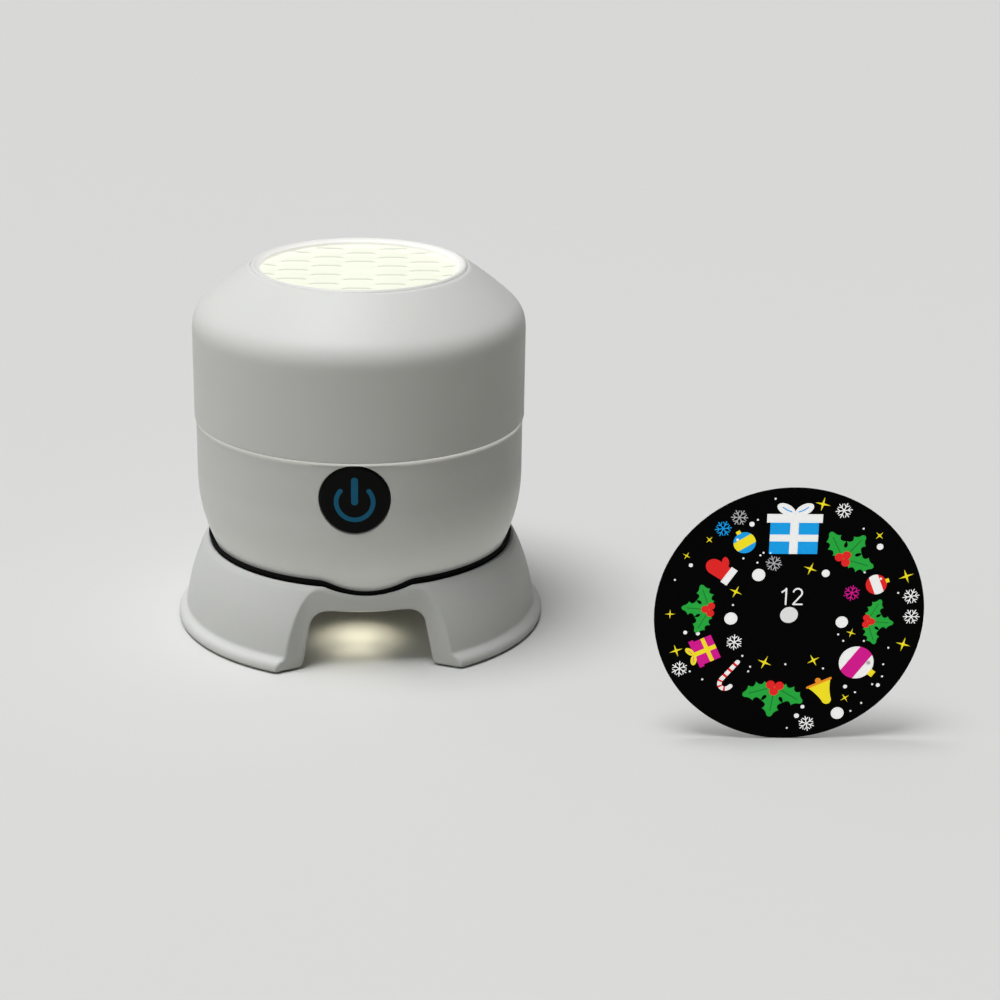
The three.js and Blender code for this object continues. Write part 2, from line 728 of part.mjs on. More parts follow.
const bushInner = flatRadius(spindleRadius + gap, pinSteps);
const bushOuter = spindleRadius + gap + bushWall;
const bushRim = bushOuter + bushFlange;
const spindleBush = revolve(closed([
  [bushInner, deckHeight - bushFlange], [bushOuter, deckHeight - bushFlange],
  [bushOuter, deckTop + gap], [bushRim, deckTop + gap],
  [bushRim, gearBase - gap], [bushInner, gearBase - gap],
]), pinSteps);
addPiece(lampGroup, "spindle_bush", spindleBush, brass);
addPiece(lampGroup, "spindle", rod(spindleRadius, spindleBottom, spindleTop), steel);
const hubGear = gear(hubTeeth, gearBase, gearBase + gearFace, spindleRadius + gap, hubPhase);
addPiece(lampGroup, "hub_gear", hubGear, gearPlastic);

// LED board on three pegged posts, its LEDs and the reflector dish
function makeBoardPost() {
  return revolve([
    [0, deckHeight + gap], [boardPegRadius, deckHeight + gap], [boardPegRadius, deckTop + gap],
    [boardPostRadius, deckTop + gap], [boardPostRadius, ledBoardHeight - gap],
    [boardPegRadius, ledBoardHeight - gap], [boardPegRadius, ledBoardTop], [0, ledBoardTop],
  ], screwSteps);
}
boardPostTurns.forEach((turn, i) => {
  const place = [...around(boardPostCircle, turn), 0];
  addPiece(lampGroup, `board_post_${i + 1}`, makeBoardPost(), innerWhite, place);
});

function makeLedBoard() {
  let board = tube(ledBoardBore, ledBoardRadius, ledBoardHeight, ledBoardTop, shellSteps);
  for (const turn of boardPostTurns) {
    const [x, y] = around(boardPostCircle, turn);
    const hole = drill(boardPegRadius + gap, ledBoardHeight - gap, ledBoardTop + gap, screwSteps);
    board = board.subtract(hole.translate(x, y, 0));
  }
  return board;
}
addPiece(lampGroup, "led_board", makeLedBoard(), boardWhite);

const ledTurns = Array.from({ length: ledCount }, (unused, i) => 360 * i / ledCount);
ledTurns.forEach((turn, i) => {
  const led = makeLed().rotate([0, 0, turn]);
  const place = [...around(ledCircle, turn), ledBoardTop + gap];
  addPiece(lampGroup, `led_${i + 1}`, led, ledYellow, place);
});

function makeReflector() {
  const bottom = ledBoardTop + gap;
  const slopeTop = bottom + reflectorRise;
  let dish = revolve(closed([
    [ledBoardBore, bottom], [reflectorFlat, bottom], [reflectorRadius, slopeTop - reflectorWall],
    [reflectorRadius, slopeTop], [reflectorRadius - reflectorWall, slopeTop],
    [reflectorFlat - reflectorWall / 2, bottom + reflectorWall], [ledBoardBore, bottom + reflectorWall],
  ]), midSteps);
  for (const turn of ledTurns) {
    const [x, y] = around(ledCircle, turn);
    const hole = drill(ledSize * Math.SQRT1_2 + gap, bottom - gap, bottom + reflectorWall + gap);
    dish = dish.subtract(hole.translate(x, y, 0));
  }
  return dish;
}
addPiece(lampGroup, "reflector", makeReflector(), innerWhite);

// Turntable: a clear plate on a hub, with a low lip that centres the picture disc
function makeTurntable() {
  const top = turntableHeight + turntablePlate;
  const lip = discRadius + gap;
  const hubBottom = turntableHeight - turntableHubDepth;
  const hub = turntableHub / 2;
  const rim = lip + turntableLip;
  const plate = revolve([
    [0, hubBottom], [hub, hubBottom], [hub, turntableHeight - turntablePlate],
    [turntableHub, turntableHeight], [rim, turntableHeight], [rim, top + discThickness],
    [lip, top + discThickness], [lip, top], [0, top],
  ], shellSteps);
  return plate.subtract(drill(spindleRadius + gap, hubBottom - gap, top + gap));
}
addPiece(lampGroup, "turntable", makeTurntable(), clearPlastic);

const makeDisc = () => tube(discBoreRadius, discRadius, 0, discThickness, shellSteps);
const fittedDiscHeight = turntableHeight + turntablePlate + gap;
addPiece(lampGroup, "fitted_disc", makeDisc(), filmBlack, [0, 0, fittedDiscHeight]);

// Hub cap: a small knob that presses onto the spindle's nose
const capBase = fittedDiscHeight + discThickness + gap;
const capBore = flatRadius(spindleRadius + gap, pinSteps);
const capProfile = [
  [capBore, capBase], [capRadius, capBase], [capRadius, capBase + capHeight / 2],
  [capRadius - gap, capBase + capHeight - 2 * gap], [capRadius - 3 * gap, capBase + capHeight],
  [0, capBase + capHeight], [0, spindleTop + gap], [capBore, spindleTop + gap],
];
addPiece(lampGroup, "hub_cap", revolve(closed(capProfile), pinSteps), innerWhite);

// Cover: the shell, its bezel and the honeycomb lens
const lensBottom = lensPlateBase - gap;
function makeUpperShell() {
  const outside = coverLine(0, slopeSteps);
  const ledgeTop = lensBottom - gap;
  const ledgeBottom = ledgeTop - lensLedge;
  const opening = bezelOuter + gap;
  const ledgeInner = lensRadius - lensLedgeReach;
  const inside = coverLine(coverWall, innerSlopeSteps).filter(([, z]) => z < ledgeBottom).reverse();
  return revolve(closed([
    [opening, rimTop], ...outside.slice(1), [bodyRadius, seamHeight], [coverInner, seamHeight],
    ...inside, [ledgeInner, ledgeBottom], [ledgeInner, ledgeTop], [opening, ledgeTop],
  ]));
}
addPiece(lampGroup, "upper_shell", makeUpperShell(), whitePlastic);

const bezelBottom = totalHeight - bezelDepth + gap;
const bezelRound = bezelWidth / 2;
const lensBezel = revolve(closed([
  [lensRadius, bezelBottom], [bezelOuter, bezelBottom],
  ...arc(lensRadius + bezelRound, totalHeight - bezelRound, bezelRound, 0, 180, roundSteps),
]));
addPiece(lampGroup, "lens_bezel", lensBezel, whitePlastic);

function makeLens() {
  const side = cellAcrossFlats / Math.sqrt(3);
  const plateTop = lensTop - cellRise;
  const radius = lensRadius - gap;
  const cellRadius = side - cellGroove / 2;
  const shoulder = cellShoulderShare * cellRadius;
  const cell = revolve([
    [0, lensPlateBase], [cellRadius, plateTop], [shoulder, plateTop + cellShoulderShare * cellRise],
    [0, lensTop],
  ], hexSides).rotate([0, 0, 180 / hexSides]);
  const reach = Math.ceil(lensRadius / cellAcrossFlats) + 1;
  let cells = null;
  for (let column = -reach; column <= reach; column++) {
    for (let row = -reach; row <= reach; row++) {
      const x = 1.5 * side * column;
      const y = cellAcrossFlats * (row + (column % 2 ? 1 / 2 : 0));
      if (Math.hypot(x, y) < radius + side) {
        const copy = cell.translate(x, y, 0);
        cells = cells ? cells.add(copy) : copy;
      }
    }
  }
  const body = rod(radius, lensPlateBase, totalHeight, midSteps);
  const plate = rod(radius, lensPlateBase, plateTop, midSteps);
  const flange = rod(lensFlangeRadius, lensBottom, lensBottom + lensFlange, midSteps);
  return cells.intersect(body).add(plate).add(flange);
}
addPiece(lampGroup, "honeycomb_lens", makeLens(), lensGlow);

// Button: a round cap flush with the wall, over the plunger of a push switch
const plungerFront = flangeBack - gap;
const plungerBack = plungerFront - plungerLength;
const switchFront = plungerBack + plungerSeat;
const switchBack = switchFront - switchDepth;

function makeButtonCap() {
  const face = rod(bowlRadius + buttonProud, 0, totalHeight, shellSteps * 2);
  const cap = rod(buttonRadius, flangeBack, bodyRadius + cutOverrun, midSteps).rotate([90, 0, 0]);
  const flange = rod(buttonFlangeRadius, flangeBack, flangeFront, midSteps).rotate([90, 0, 0]);
  return cap.add(flange).translate(0, 0, buttonHeight).intersect(face);
}
addPiece(lampGroup, "button_cap", makeButtonCap(), blackGloss);
const plunger = rod(plungerRadius, plungerBack, plungerFront).rotate([90, 0, 0]);
addPiece(lampGroup, "switch_plunger", plunger, blackGloss, [0, 0, buttonHeight]);

const switchBore = drill(plungerRadius + gap, plungerBack - buttonTravel - gap, switchFront + gap);
const tactSwitch = block(switchSize, switchSize, switchBack, switchFront).subtract(switchBore);
addPiece(lampGroup, "tact_switch", tactSwitch.rotate([90, 0, 0]), chipBlack, [0, 0, buttonHeight]);

const boardFront = switchBack - gap;
const bracketTop = deckHeight - gap;
const switchBoardTop = bracketTop - bracketWall - gap;
const switchBoardBottom = switchBoardTop - switchBoardSize;
const switchBoard = block(switchBoardSize, boardThickness, switchBoardBottom, switchBoardTop);
addPiece(lampGroup, "switch_board", switchBoard, boardGreen, [0, boardThickness / 2 - boardFront, 0]);

const bracketFront = boardFront - boardThickness - gap;
const bracketProfile = [
  [0, switchBoardBottom], [bracketWall, switchBoardBottom], [bracketWall, bracketTop - bracketWall],
  [bracketTab, bracketTop - bracketWall], [bracketTab, bracketTop], [0, bracketTop],
];
const bracket = prism(bracketProfile, -switchBoardSize / 2, switchBoardSize / 2);
addPiece(lampGroup, "switch_bracket", bracket.rotate([90, 0, 90]), steel, [0, -bracketFront, 0]);

// Spare disc, standing on its edge with its face to the front
const spareDisc = makeDisc().rotate([90, 0, 0]);
addPiece(set, "spare_disc", spareDisc, filmBlack, [...spareDiscPlace, discRadius]);

// The set stands on its origin, at the middle of its footprint
set.updateMatrixWorld(true);
const footprint = new THREE.Box3().setFromObject(set, true).getCenter(new THREE.Vector3());
set.position.set(-footprint.x, -footprint.y, 0);
set.updateMatrixWorld(true);

export default set;
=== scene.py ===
import math

import bmesh
import bpy
import numpy as np
from mathutils import Matrix, Vector


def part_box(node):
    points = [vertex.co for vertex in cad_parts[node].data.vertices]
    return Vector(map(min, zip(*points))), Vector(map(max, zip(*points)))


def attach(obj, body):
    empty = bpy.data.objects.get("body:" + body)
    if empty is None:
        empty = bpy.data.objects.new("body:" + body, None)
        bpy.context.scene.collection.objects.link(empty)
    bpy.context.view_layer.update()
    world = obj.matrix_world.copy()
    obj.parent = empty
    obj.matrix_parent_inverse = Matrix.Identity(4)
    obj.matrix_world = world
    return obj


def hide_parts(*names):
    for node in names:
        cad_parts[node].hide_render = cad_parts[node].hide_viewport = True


# Rotating motion lamp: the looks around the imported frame. Sizes are in millimetres here and
# turn into metres where a mesh is made.

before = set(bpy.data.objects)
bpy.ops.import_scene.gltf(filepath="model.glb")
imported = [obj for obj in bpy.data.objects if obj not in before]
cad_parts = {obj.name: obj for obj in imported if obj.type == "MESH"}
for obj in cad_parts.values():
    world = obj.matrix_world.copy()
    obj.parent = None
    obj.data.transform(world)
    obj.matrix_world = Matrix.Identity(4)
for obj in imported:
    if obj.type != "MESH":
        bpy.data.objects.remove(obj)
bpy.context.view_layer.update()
mm = 0.001


def boxOf(node):  # lowest and highest corner of a CAD node in millimetres
    low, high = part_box(node)
    return np.array(low) / mm, np.array(high) / mm


def middleOf(node):  # halfway between those corners
    low, high = boxOf(node)
    return (low + high) / 2


lampAxis = middleOf("lens_bezel")[:2]
coverLow, coverHigh = boxOf("upper_shell")
bezelLow, bezelHigh = boxOf("lens_bezel")
lensLow, lensHigh = boxOf("honeycomb_lens")
shellLow, shellHigh = boxOf("lower_shell")
standLow, standHigh = boxOf("stand")
buttonLow, buttonHigh = boxOf("button_cap")
print("frame loaded,", len(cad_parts), "nodes")


# Geometry helpers


# Point (i, j) of a grid joins (i + 1, j), (i + 1, j + 1) and (i, j + 1), wrapping where it closes
def gridFaces(countU, countV, closedU=True, closedV=True):
    i, j = np.meshgrid(
        np.arange(countU if closedU else countU - 1),
        np.arange(countV if closedV else countV - 1), indexing="ij")
    nextI, nextJ = (i + 1) % countU, (j + 1) % countV
    corners = [i * countV + j, nextI * countV + j, nextI * countV + nextJ, i * countV + nextJ]
    return np.stack(corners, -1).reshape(-1, 4)


# Several sets of points and faces as one, the later faces counting on from the earlier points
def joined(parts):
    points, faces, start = [], [], 0
    for part in parts:
        points.append(np.reshape(part[0], (-1, 3)))
        faces += (np.asarray(part[1]) + start).tolist() if len(part[1]) else []
        start += len(points[-1])
    return np.concatenate(points), faces


meshing = {"weld": 2e-7, "sharpAngle": 38}


# Points and faces as a closed mesh: doubles welded, loose points removed, faces turned outward
def makeMesh(name, points, faces, outward=True, marks=None):
    mesh = bpy.data.meshes.new(name)
    faces = faces.tolist() if isinstance(faces, np.ndarray) else faces
    mesh.from_pydata((np.reshape(points, (-1, 3)) * mm).tolist(), [], faces)
    for mark, values in (marks or {}).items():
        kind = "FLOAT" if np.ndim(values) == 1 else "FLOAT_COLOR"
        layer = mesh.attributes.new(mark, kind, "POINT")
        layer.data.foreach_set("value" if kind == "FLOAT" else "color", np.ravel(values))
    work = bmesh.new()
    work.from_mesh(mesh)
    bmesh.ops.remove_doubles(work, verts=work.verts, dist=meshing["weld"])
    bmesh.ops.dissolve_degenerate(work, edges=work.edges, dist=meshing["weld"])
    loose = [v for v in work.verts if not v.link_faces]
    bmesh.ops.delete(work, geom=loose, context="VERTS")
    if outward:
        bmesh.ops.recalc_face_normals(work, faces=work.faces)
    work.to_mesh(mesh)
    work.free()
    mesh.shade_smooth()
    mesh.set_sharp_from_angle(angle=math.radians(meshing["sharpAngle"]))
    return mesh


# One finished piece: its mesh, its finish, the body it rides on and what it stands for
def addPiece(name, mesh, finish, body, slotName, *nodes):
    piece = bpy.data.objects.new(name, mesh)
    bpy.context.scene.collection.objects.link(piece)
    mesh.materials.append(finish)
    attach(piece, body)
    if nodes:
        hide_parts(*nodes)
    return piece


# A line of [radius, height, softness] corners: each corner becomes an arc of that softness
# which touches both sides, with a support point on each side of it
def softLine(corners, closedLine=True, steps=5, support=0.5):
    corners = np.array(corners, float)
    count = len(corners)
    line = []
    for k in range(count):
        at, soft = corners[k, :2], corners[k, 2]
        if soft <= 0 or (not closedLine and k in (0, count - 1)):
            line.append(at[None])
            continue
        back, ahead = corners[k - 1, :2] - at, corners[(k + 1) % count, :2] - at
        backLength, aheadLength = np.linalg.norm(back), np.linalg.norm(ahead)
        back, ahead = back / backLength, ahead / aheadLength
        half = math.acos(np.clip(back @ ahead, -1, 1)) / 2
        if half > math.pi / 2 - 1e-3:
            line.append(at[None])
            continue
        reach = min(soft / math.tan(half), 0.45 * backLength, 0.45 * aheadLength)
        centre = at + (back + ahead) / np.linalg.norm(back + ahead) * reach / math.cos(half)
        start, end = at + back * reach - centre, at + ahead * reach - centre
        sweep = math.pi - 2 * half
        share = np.linspace(0, 1, steps + 1)[:, None]
        arc = centre + (np.sin((1 - share) * sweep) * start + np.sin(share * sweep) * end) / math.sin(sweep)
        far = np.array([min(support, 0.4 * (backLength - reach)), min(support, 0.4 * (aheadLength - reach))])
        line.append(arc[:1] + back * far[0])
        line.append(arc)
        line.append(arc[-1:] + ahead * far[1])
    return np.concatenate(line)


# A [radius, height] line turned about the vertical through centre; lines that start and end
# on the axis close there
def turned(line, centre=lampAxis, steps=160, closedLine=True):
    angle = np.arange(steps) / steps * 2 * np.pi
    radius, height = np.asarray(line, float)[:, :2].T
    points = np.stack([
        centre[0] + np.outer(np.cos(angle), radius), centre[1] + np.outer(np.sin(angle), radius),
        np.tile(height, (steps, 1))], -1)
    return points, gridFaces(steps, len(radius), True, closedLine)


# Finishes


# A short way to add nodes to a tree and to join them
def nodeTools(tree):
    def add(kind, **values):
        node = tree.nodes.new(kind)
        for key, value in values.items():
            if key in node.bl_rna.properties:
                setattr(node, key, value)
            else:
                node.inputs[key.replace("_", " ")].default_value = value
        return node

    def join(fromNode, fromSocket, toNode, toSocket):
        tree.links.new(fromNode.outputs[fromSocket], toNode.inputs[toSocket])

    return add, join


# A new material with its shader and its node tools
def newFinish(name, settings):
    finish = bpy.data.materials.new(name)
    finish.use_nodes = True
    shader = finish.node_tree.nodes["Principled BSDF"]
    for socket, value in settings.items():
        shader.inputs[socket].default_value = value
    return finish, shader, *nodeTools(finish.node_tree)


mixFirst, mixSecond, mixResult = 6, 7, 2  # a mix node's sockets for colours


# Fine noise on the object's own place, with the bump it gives the surface
def addGrain(shader, add, join, scale, strength, depth):
    place = add("ShaderNodeTexCoord")
    grain = add("ShaderNodeTexNoise", Scale=scale, Detail=3)
    join(place, "Object", grain, "Vector")
    addBump(shader, add, join, grain, strength, depth)
    return place, grain


# A texture's value as height, which tilts the surface's normal
def addBump(shader, add, join, source, strength, depth):
    bump = add("ShaderNodeBump", Strength=strength, Distance=depth)
    join(source, "Fac", bump, "Height")
    join(bump, "Normal", shader, "Normal")


# A texture's value turned into a colour between two, or into a number between two
def mixColour(add, join, source, sourceSocket, low, high, fromMin=0.3, fromMax=0.7):
    ramp = add("ShaderNodeValToRGB")
    ramp.color_ramp.elements[0].position, ramp.color_ramp.elements[1].position = fromMin, fromMax
    ramp.color_ramp.elements[0].color, ramp.color_ramp.elements[1].color = (*low, 1), (*high, 1)
    join(source, sourceSocket, ramp, "Fac")
    return ramp


def mapValue(add, join, source, sourceSocket, low, high, fromMin=0.3, fromMax=0.7):
    change = add("ShaderNodeMapRange", From_Min=fromMin, From_Max=fromMax, To_Min=low, To_Max=high)
    join(source, sourceSocket, change, "Value")
    return change


# A moulded or rolled finish: slow drift of colour, fine grain in roughness and height
def grainFinish(key, name=None, extra=None):
    look = finishes[key]
    finish, shader, add, join = newFinish(name or key, {
        "Metallic": look.get("metal", 0), "IOR": 1.46, **(extra or {})})
    place = add("ShaderNodeTexCoord")
    stretch = add("ShaderNodeMapping")
    stretch.inputs["Scale"].default_value = look.get("stretch", (1, 1, 1))
    join(place, "Object", stretch, "Vector")
    drift = add("ShaderNodeTexNoise", Scale=35, Detail=3)
    grain = add("ShaderNodeTexNoise", Scale=look["grainScale"], Detail=4, Roughness=0.6)
    join(stretch, "Vector", drift, "Vector")
    join(stretch, "Vector", grain, "Vector")
    shade, change = np.array(look["colour"]), look["drift"]
    ramp = mixColour(add, join, drift, "Fac", shade * (1 - change), np.minimum(shade * (1 + change), 1))
    join(ramp, "Color", shader, "Base Color")
    middle, spread = look["rough"], look["roughSpread"]
    rough = mapValue(add, join, grain, "Fac", middle - spread, middle + spread)
    join(rough, "Result", shader, "Roughness")
    addBump(shader, add, join, grain, look["bump"], look["bumpDepth"])
    return finish


finishes = {
    "shell": {"colour": (0.81, 0.815, 0.795), "grainScale": 2600, "drift": 0.012, "rough": 0.48,
              "roughSpread": 0.05, "bump": 0.22, "bumpDepth": 0.00003},
    # painted shade: the stand is the shell's white plastic made darker, for the shade the lamp's body casts on it
    "stand": {"colour": (0.745, 0.755, 0.74), "grainScale": 2400, "drift": 0.012, "rough": 0.48,
              "roughSpread": 0.05, "bump": 0.22, "bumpDepth": 0.00003},
    "inner": {"colour": (0.84, 0.84, 0.82), "grainScale": 1500, "drift": 0.015, "rough": 0.45,
              "roughSpread": 0.06, "bump": 0.2, "bumpDepth": 0.00003},
    "bezel": {"colour": (0.83, 0.83, 0.81), "grainScale": 2600, "drift": 0.01, "rough": 0.35,
              "roughSpread": 0.05, "bump": 0.2, "bumpDepth": 0.00002},
    "rubber": {"colour": (0.004, 0.004, 0.004), "grainScale": 3200, "drift": 0.25, "rough": 0.8,
               "roughSpread": 0.08, "bump": 0.5, "bumpDepth": 0.00004},
    "button": {"colour": (0.003, 0.003, 0.0028), "grainScale": 2200, "drift": 0.1, "rough": 0.38,
               "roughSpread": 0.05, "bump": 0.1, "bumpDepth": 0.00001},
    "film": {"colour": (0.0006, 0.0006, 0.0007), "grainScale": 1800, "drift": 0.15, "rough": 0.42,
             "roughSpread": 0.06, "bump": 0.1, "bumpDepth": 0.00001},
    "steel": {"colour": (0.56, 0.57, 0.58), "grainScale": 1400, "drift": 0.05, "rough": 0.33,
              "roughSpread": 0.09, "bump": 0.2, "bumpDepth": 0.00002, "metal": 1, "stretch": (1, 1, 6)},
    "brass": {"colour": (0.62, 0.45, 0.19), "grainScale": 1400, "drift": 0.07, "rough": 0.32,
              "roughSpread": 0.08, "bump": 0.2, "bumpDepth": 0.00002, "metal": 1, "stretch": (1, 1, 5)},
    "gear": {"colour": (0.76, 0.72, 0.62), "grainScale": 2000, "drift": 0.03, "rough": 0.5,
             "roughSpread": 0.06, "bump": 0.25, "bumpDepth": 0.00003},
    "boardWhite": {"colour": (0.85, 0.85, 0.82), "grainScale": 2600, "drift": 0.02, "rough": 0.5,
                   "roughSpread": 0.08, "bump": 0.3, "bumpDepth": 0.00002},
    "chip": {"colour": (0.012, 0.012, 0.014), "grainScale": 3000, "drift": 0.1, "rough": 0.55,
             "roughSpread": 0.08, "bump": 0.3, "bumpDepth": 0.00002},
}
shellLook = {"Subsurface Weight": 0.04, "Subsurface Scale": 0.002, "Specular IOR Level": 0.35}
shellFinish = grainFinish("shell", extra=shellLook)
# the stand's finish carries painted shade: darker than the shell's same plastic
shadedStandFinish = grainFinish("stand", extra=shellLook)


# A moulded finish with a painted glow: it shines by itself though it is no lamp, as much as the lip mark says
def paintedGlowFinish(key, name, low, high):
    finish = grainFinish(key, name, {**shellLook, "Emission Color": (1, 1, 0.95, 1)})
    add, join = nodeTools(finish.node_tree)
    glow = mapValue(add, join, add("ShaderNodeAttribute", attribute_name="lip"), "Fac", low, high, 0, 1)
    join(glow, "Result", finish.node_tree.nodes["Principled BSDF"], "Emission Strength")
    return finish


# Painted light: on the lower shell the lip mark is a painted highlight along the seam's edge and a painted glow on
# the lower bowl; on the bezel it is a painted glow that grows towards the lens
paintedGlowShellFinish = paintedGlowFinish("shell", "shellPaintedGlow", 0, 0.3)
paintedGlowBezelFinish = paintedGlowFinish("bezel", "bezelPaintedGlow", 0.06, 0.28)
innerFinish = grainFinish("inner")
rubberFinish = grainFinish("rubber", extra={"Specular IOR Level": 0.1})
buttonFinish = grainFinish("button", extra={"Specular IOR Level": 0.08})
filmFinish = grainFinish("film", extra={"Specular IOR Level": 0.04})
steelFinish = grainFinish("steel")
brassFinish = grainFinish("brass")
gearFinish = grainFinish("gear")
boardWhiteFinish = grainFinish("boardWhite")
chipFinish = grainFinish("chip")


# Clear acrylic of the turntable: see-through, with faint turning marks
def clearFinish():
    finish, shader, add, join = newFinish("clear", {
        "Base Color": (0.93, 0.96, 0.97, 1), "Transmission Weight": 0.9, "IOR": 1.49})
    _, grain = addGrain(shader, add, join, 900, 0.1, 0.00001)
    rough = mapValue(add, join, grain, "Fac", 0.04, 0.14)
    join(rough, "Result", shader, "Roughness")
    return finish


# Lit plastic: it shines by itself, less where its dimming mark says; on the lens that mark is painted shade, the
# dim dashes along the cell grooves
def glowFinish(name, look):
    finish, shader, add, join = newFinish(name, {
        "Base Color": (*look["base"], 1), "Emission Strength": look["strength"], "Roughness": look["rough"]})
    glowDim = add("ShaderNodeAttribute", attribute_name="glowDim")
    place, _ = addGrain(shader, add, join, 2400, 0.15, 0.00002)
    cloud = add("ShaderNodeTexNoise", Scale=look["cloudScale"], Detail=2)
    join(place, "Object", cloud, "Vector")
    drift = mixColour(add, join, cloud, "Fac", look["light"], np.array(look["light"]) * look["cloud"])
    mix = add("ShaderNodeMix", data_type="RGBA")
    join(glowDim, "Fac", mix, "Factor")
    join(drift, "Color", mix, mixFirst)
    mix.inputs[mixSecond].default_value = (*look["dark"], 1)
    join(mix, mixResult, shader, "Emission Color")
    return finish


glows = {
    # the lens's dark colour is painted shade along the near side of its cell grooves
    "lens": {"base": (0.12, 0.12, 0.12), "light": (0.86, 0.88, 0.73), "dark": (0.5, 0.53, 0.43),
             "strength": 1, "rough": 0.4, "cloud": 0.97, "cloudScale": 60},
    "window": {"base": (0.4, 0.38, 0.32), "light": (1, 0.93, 0.66), "dark": (0.004, 0.0035, 0.002),
               "strength": 0.7, "rough": 0.4, "cloud": 0.9, "cloudScale": 80},
    "led": {"base": (0.9, 0.74, 0.25), "light": (1, 0.86, 0.5), "dark": (0.8, 0.6, 0.2),
            "strength": 1.2, "rough": 0.25, "cloud": 0.85, "cloudScale": 400},
}
lensFinish = glowFinish("lensGlow", glows["lens"])
windowFinish = glowFinish("windowGlow", glows["window"])
ledFinish = glowFinish("ledGlow", glows["led"])
clearPlastic = clearFinish()


# Printed ink: its colour comes from the ink mark, with the grain of the print; the ink also shines in that colour
# though print is no lamp, a painted glow
def inkFinish(name, look):
    finish, shader, add, join = newFinish(name, {
        "Roughness": look["rough"], "Specular IOR Level": look["gloss"], "Emission Strength": look["paintedInkGlow"]})
    ink = add("ShaderNodeAttribute", attribute_name="ink")
    _, grain = addGrain(shader, add, join, look["grainScale"], 0.2, 0.00001)
    shade = mapValue(add, join, grain, "Fac", look["thin"], 1)
    mix = add("ShaderNodeMix", data_type="RGBA", blend_type="MULTIPLY", Factor=1)
    join(ink, "Color", mix, mixFirst)
    join(shade, "Result", mix, mixSecond)
    for socket in ("Base Color", "Emission Color"):
        join(mix, mixResult, shader, socket)
    return finish


# both prints carry a painted glow through their own emission strength
discInk = inkFinish("discInk", {"rough": 0.45, "grainScale": 1600, "thin": 0.92, "paintedInkGlow": 0.55, "gloss": 0.12})
symbolInk = inkFinish("symbolInk", {"rough": 0.4, "grainScale": 1800, "thin": 0.9, "paintedInkGlow": 0.3, "gloss": 0.12})


# A green circuit board: lacquer over faint tracks, which run as bands both ways
def boardFinish():
    finish, shader, add, join = newFinish("boardGreen", {"Coat Weight": 0.3, "Coat Roughness": 0.25})
    place = add("ShaderNodeTexCoord")
    tracks = add("ShaderNodeTexBrick", Scale=260, Mortar_Size=0.035)
    tracks.inputs["Color1"].default_value = (0.012, 0.1, 0.045, 1)
    tracks.inputs["Color2"].default_value = (0.014, 0.115, 0.05, 1)
    tracks.inputs["Mortar"].default_value = (0.05, 0.2, 0.09, 1)
    join(place, "Object", tracks, "Vector")
    join(tracks, "Color", shader, "Base Color")
    grain = add("ShaderNodeTexNoise", Scale=1800, Detail=3)
    join(place, "Object", grain, "Vector")
    rough = mapValue(add, join, grain, "Fac", 0.35, 0.5)
    join(rough, "Result", shader, "Roughness")
    addBump(shader, add, join, tracks, 0.25, 0.00003)
    return finish


# A shrink-wrapped cell: blue film in two shades in waved bands, with small creases along it
def wrapFinish():
    finish, shader, add, join = newFinish("batteryWrap", {"Coat Weight": 0.2, "Coat Roughness": 0.15})
    place = add("ShaderNodeTexCoord")
    crease = add("ShaderNodeTexWave", Scale=90, Distortion=4, Detail=2, bands_direction="X")
    join(place, "Object", crease, "Vector")
    ramp = mixColour(add, join, crease, "Fac", (0.02, 0.11, 0.36), (0.03, 0.14, 0.43), 0.2, 0.9)
    join(ramp, "Color", shader, "Base Color")
    rough = mapValue(add, join, crease, "Fac", 0.3, 0.4)
    join(rough, "Result", shader, "Roughness")
    addBump(shader, add, join, crease, 0.2, 0.00004)
    return finish


boardGreenFinish = boardFinish()
batteryFinish = wrapFinish()
print("finishes ready")


# Cover: upper shell, bezel and honeycomb lens

cover = {"wall": 2, "reach": 17, "rimSlope": 34, "slopeGain": 12, "bendStart": 0.6, "steps": 60,
         "seamSoft": 0.3, "rimGap": 0.01, "lensLedge": 1.5, "ledgeReach": 4.5, "lensSeat": 0.3}


# The cover's outer line, added up from steps of equal length whose slope is given: it steepens
# evenly, then bends to upright by a smooth step; inset moves the line inward along its normal
def coverLine(inset):
    radius = (coverHigh[0] - coverLow[0]) / 2
    t = np.linspace(0, 1, cover["steps"])
    bend = np.clip((t - cover["bendStart"]) / (1 - cover["bendStart"]), 0, 1)
    even = cover["rimSlope"] + cover["slopeGain"] * t
    slope = np.radians(even + (90 - cover["rimSlope"] - cover["slopeGain"]) * bend**2 * (3 - 2 * bend))
    ahead = np.stack([np.cos(slope), -np.sin(slope)], 1)
    steps = np.concatenate([[[0, 0]], (ahead[1:] + ahead[:-1]) / 2])
    line = np.cumsum(steps, 0)
    line = [radius - cover["reach"], coverHigh[2]] + line * cover["reach"] / line[-1, 0]
    return line - inset * np.stack([-ahead[:, 1], ahead[:, 0]], 1)


def asCorners(line):  # points of a line as corners with no softness
    return [[r, z, 0] for r, z in line]


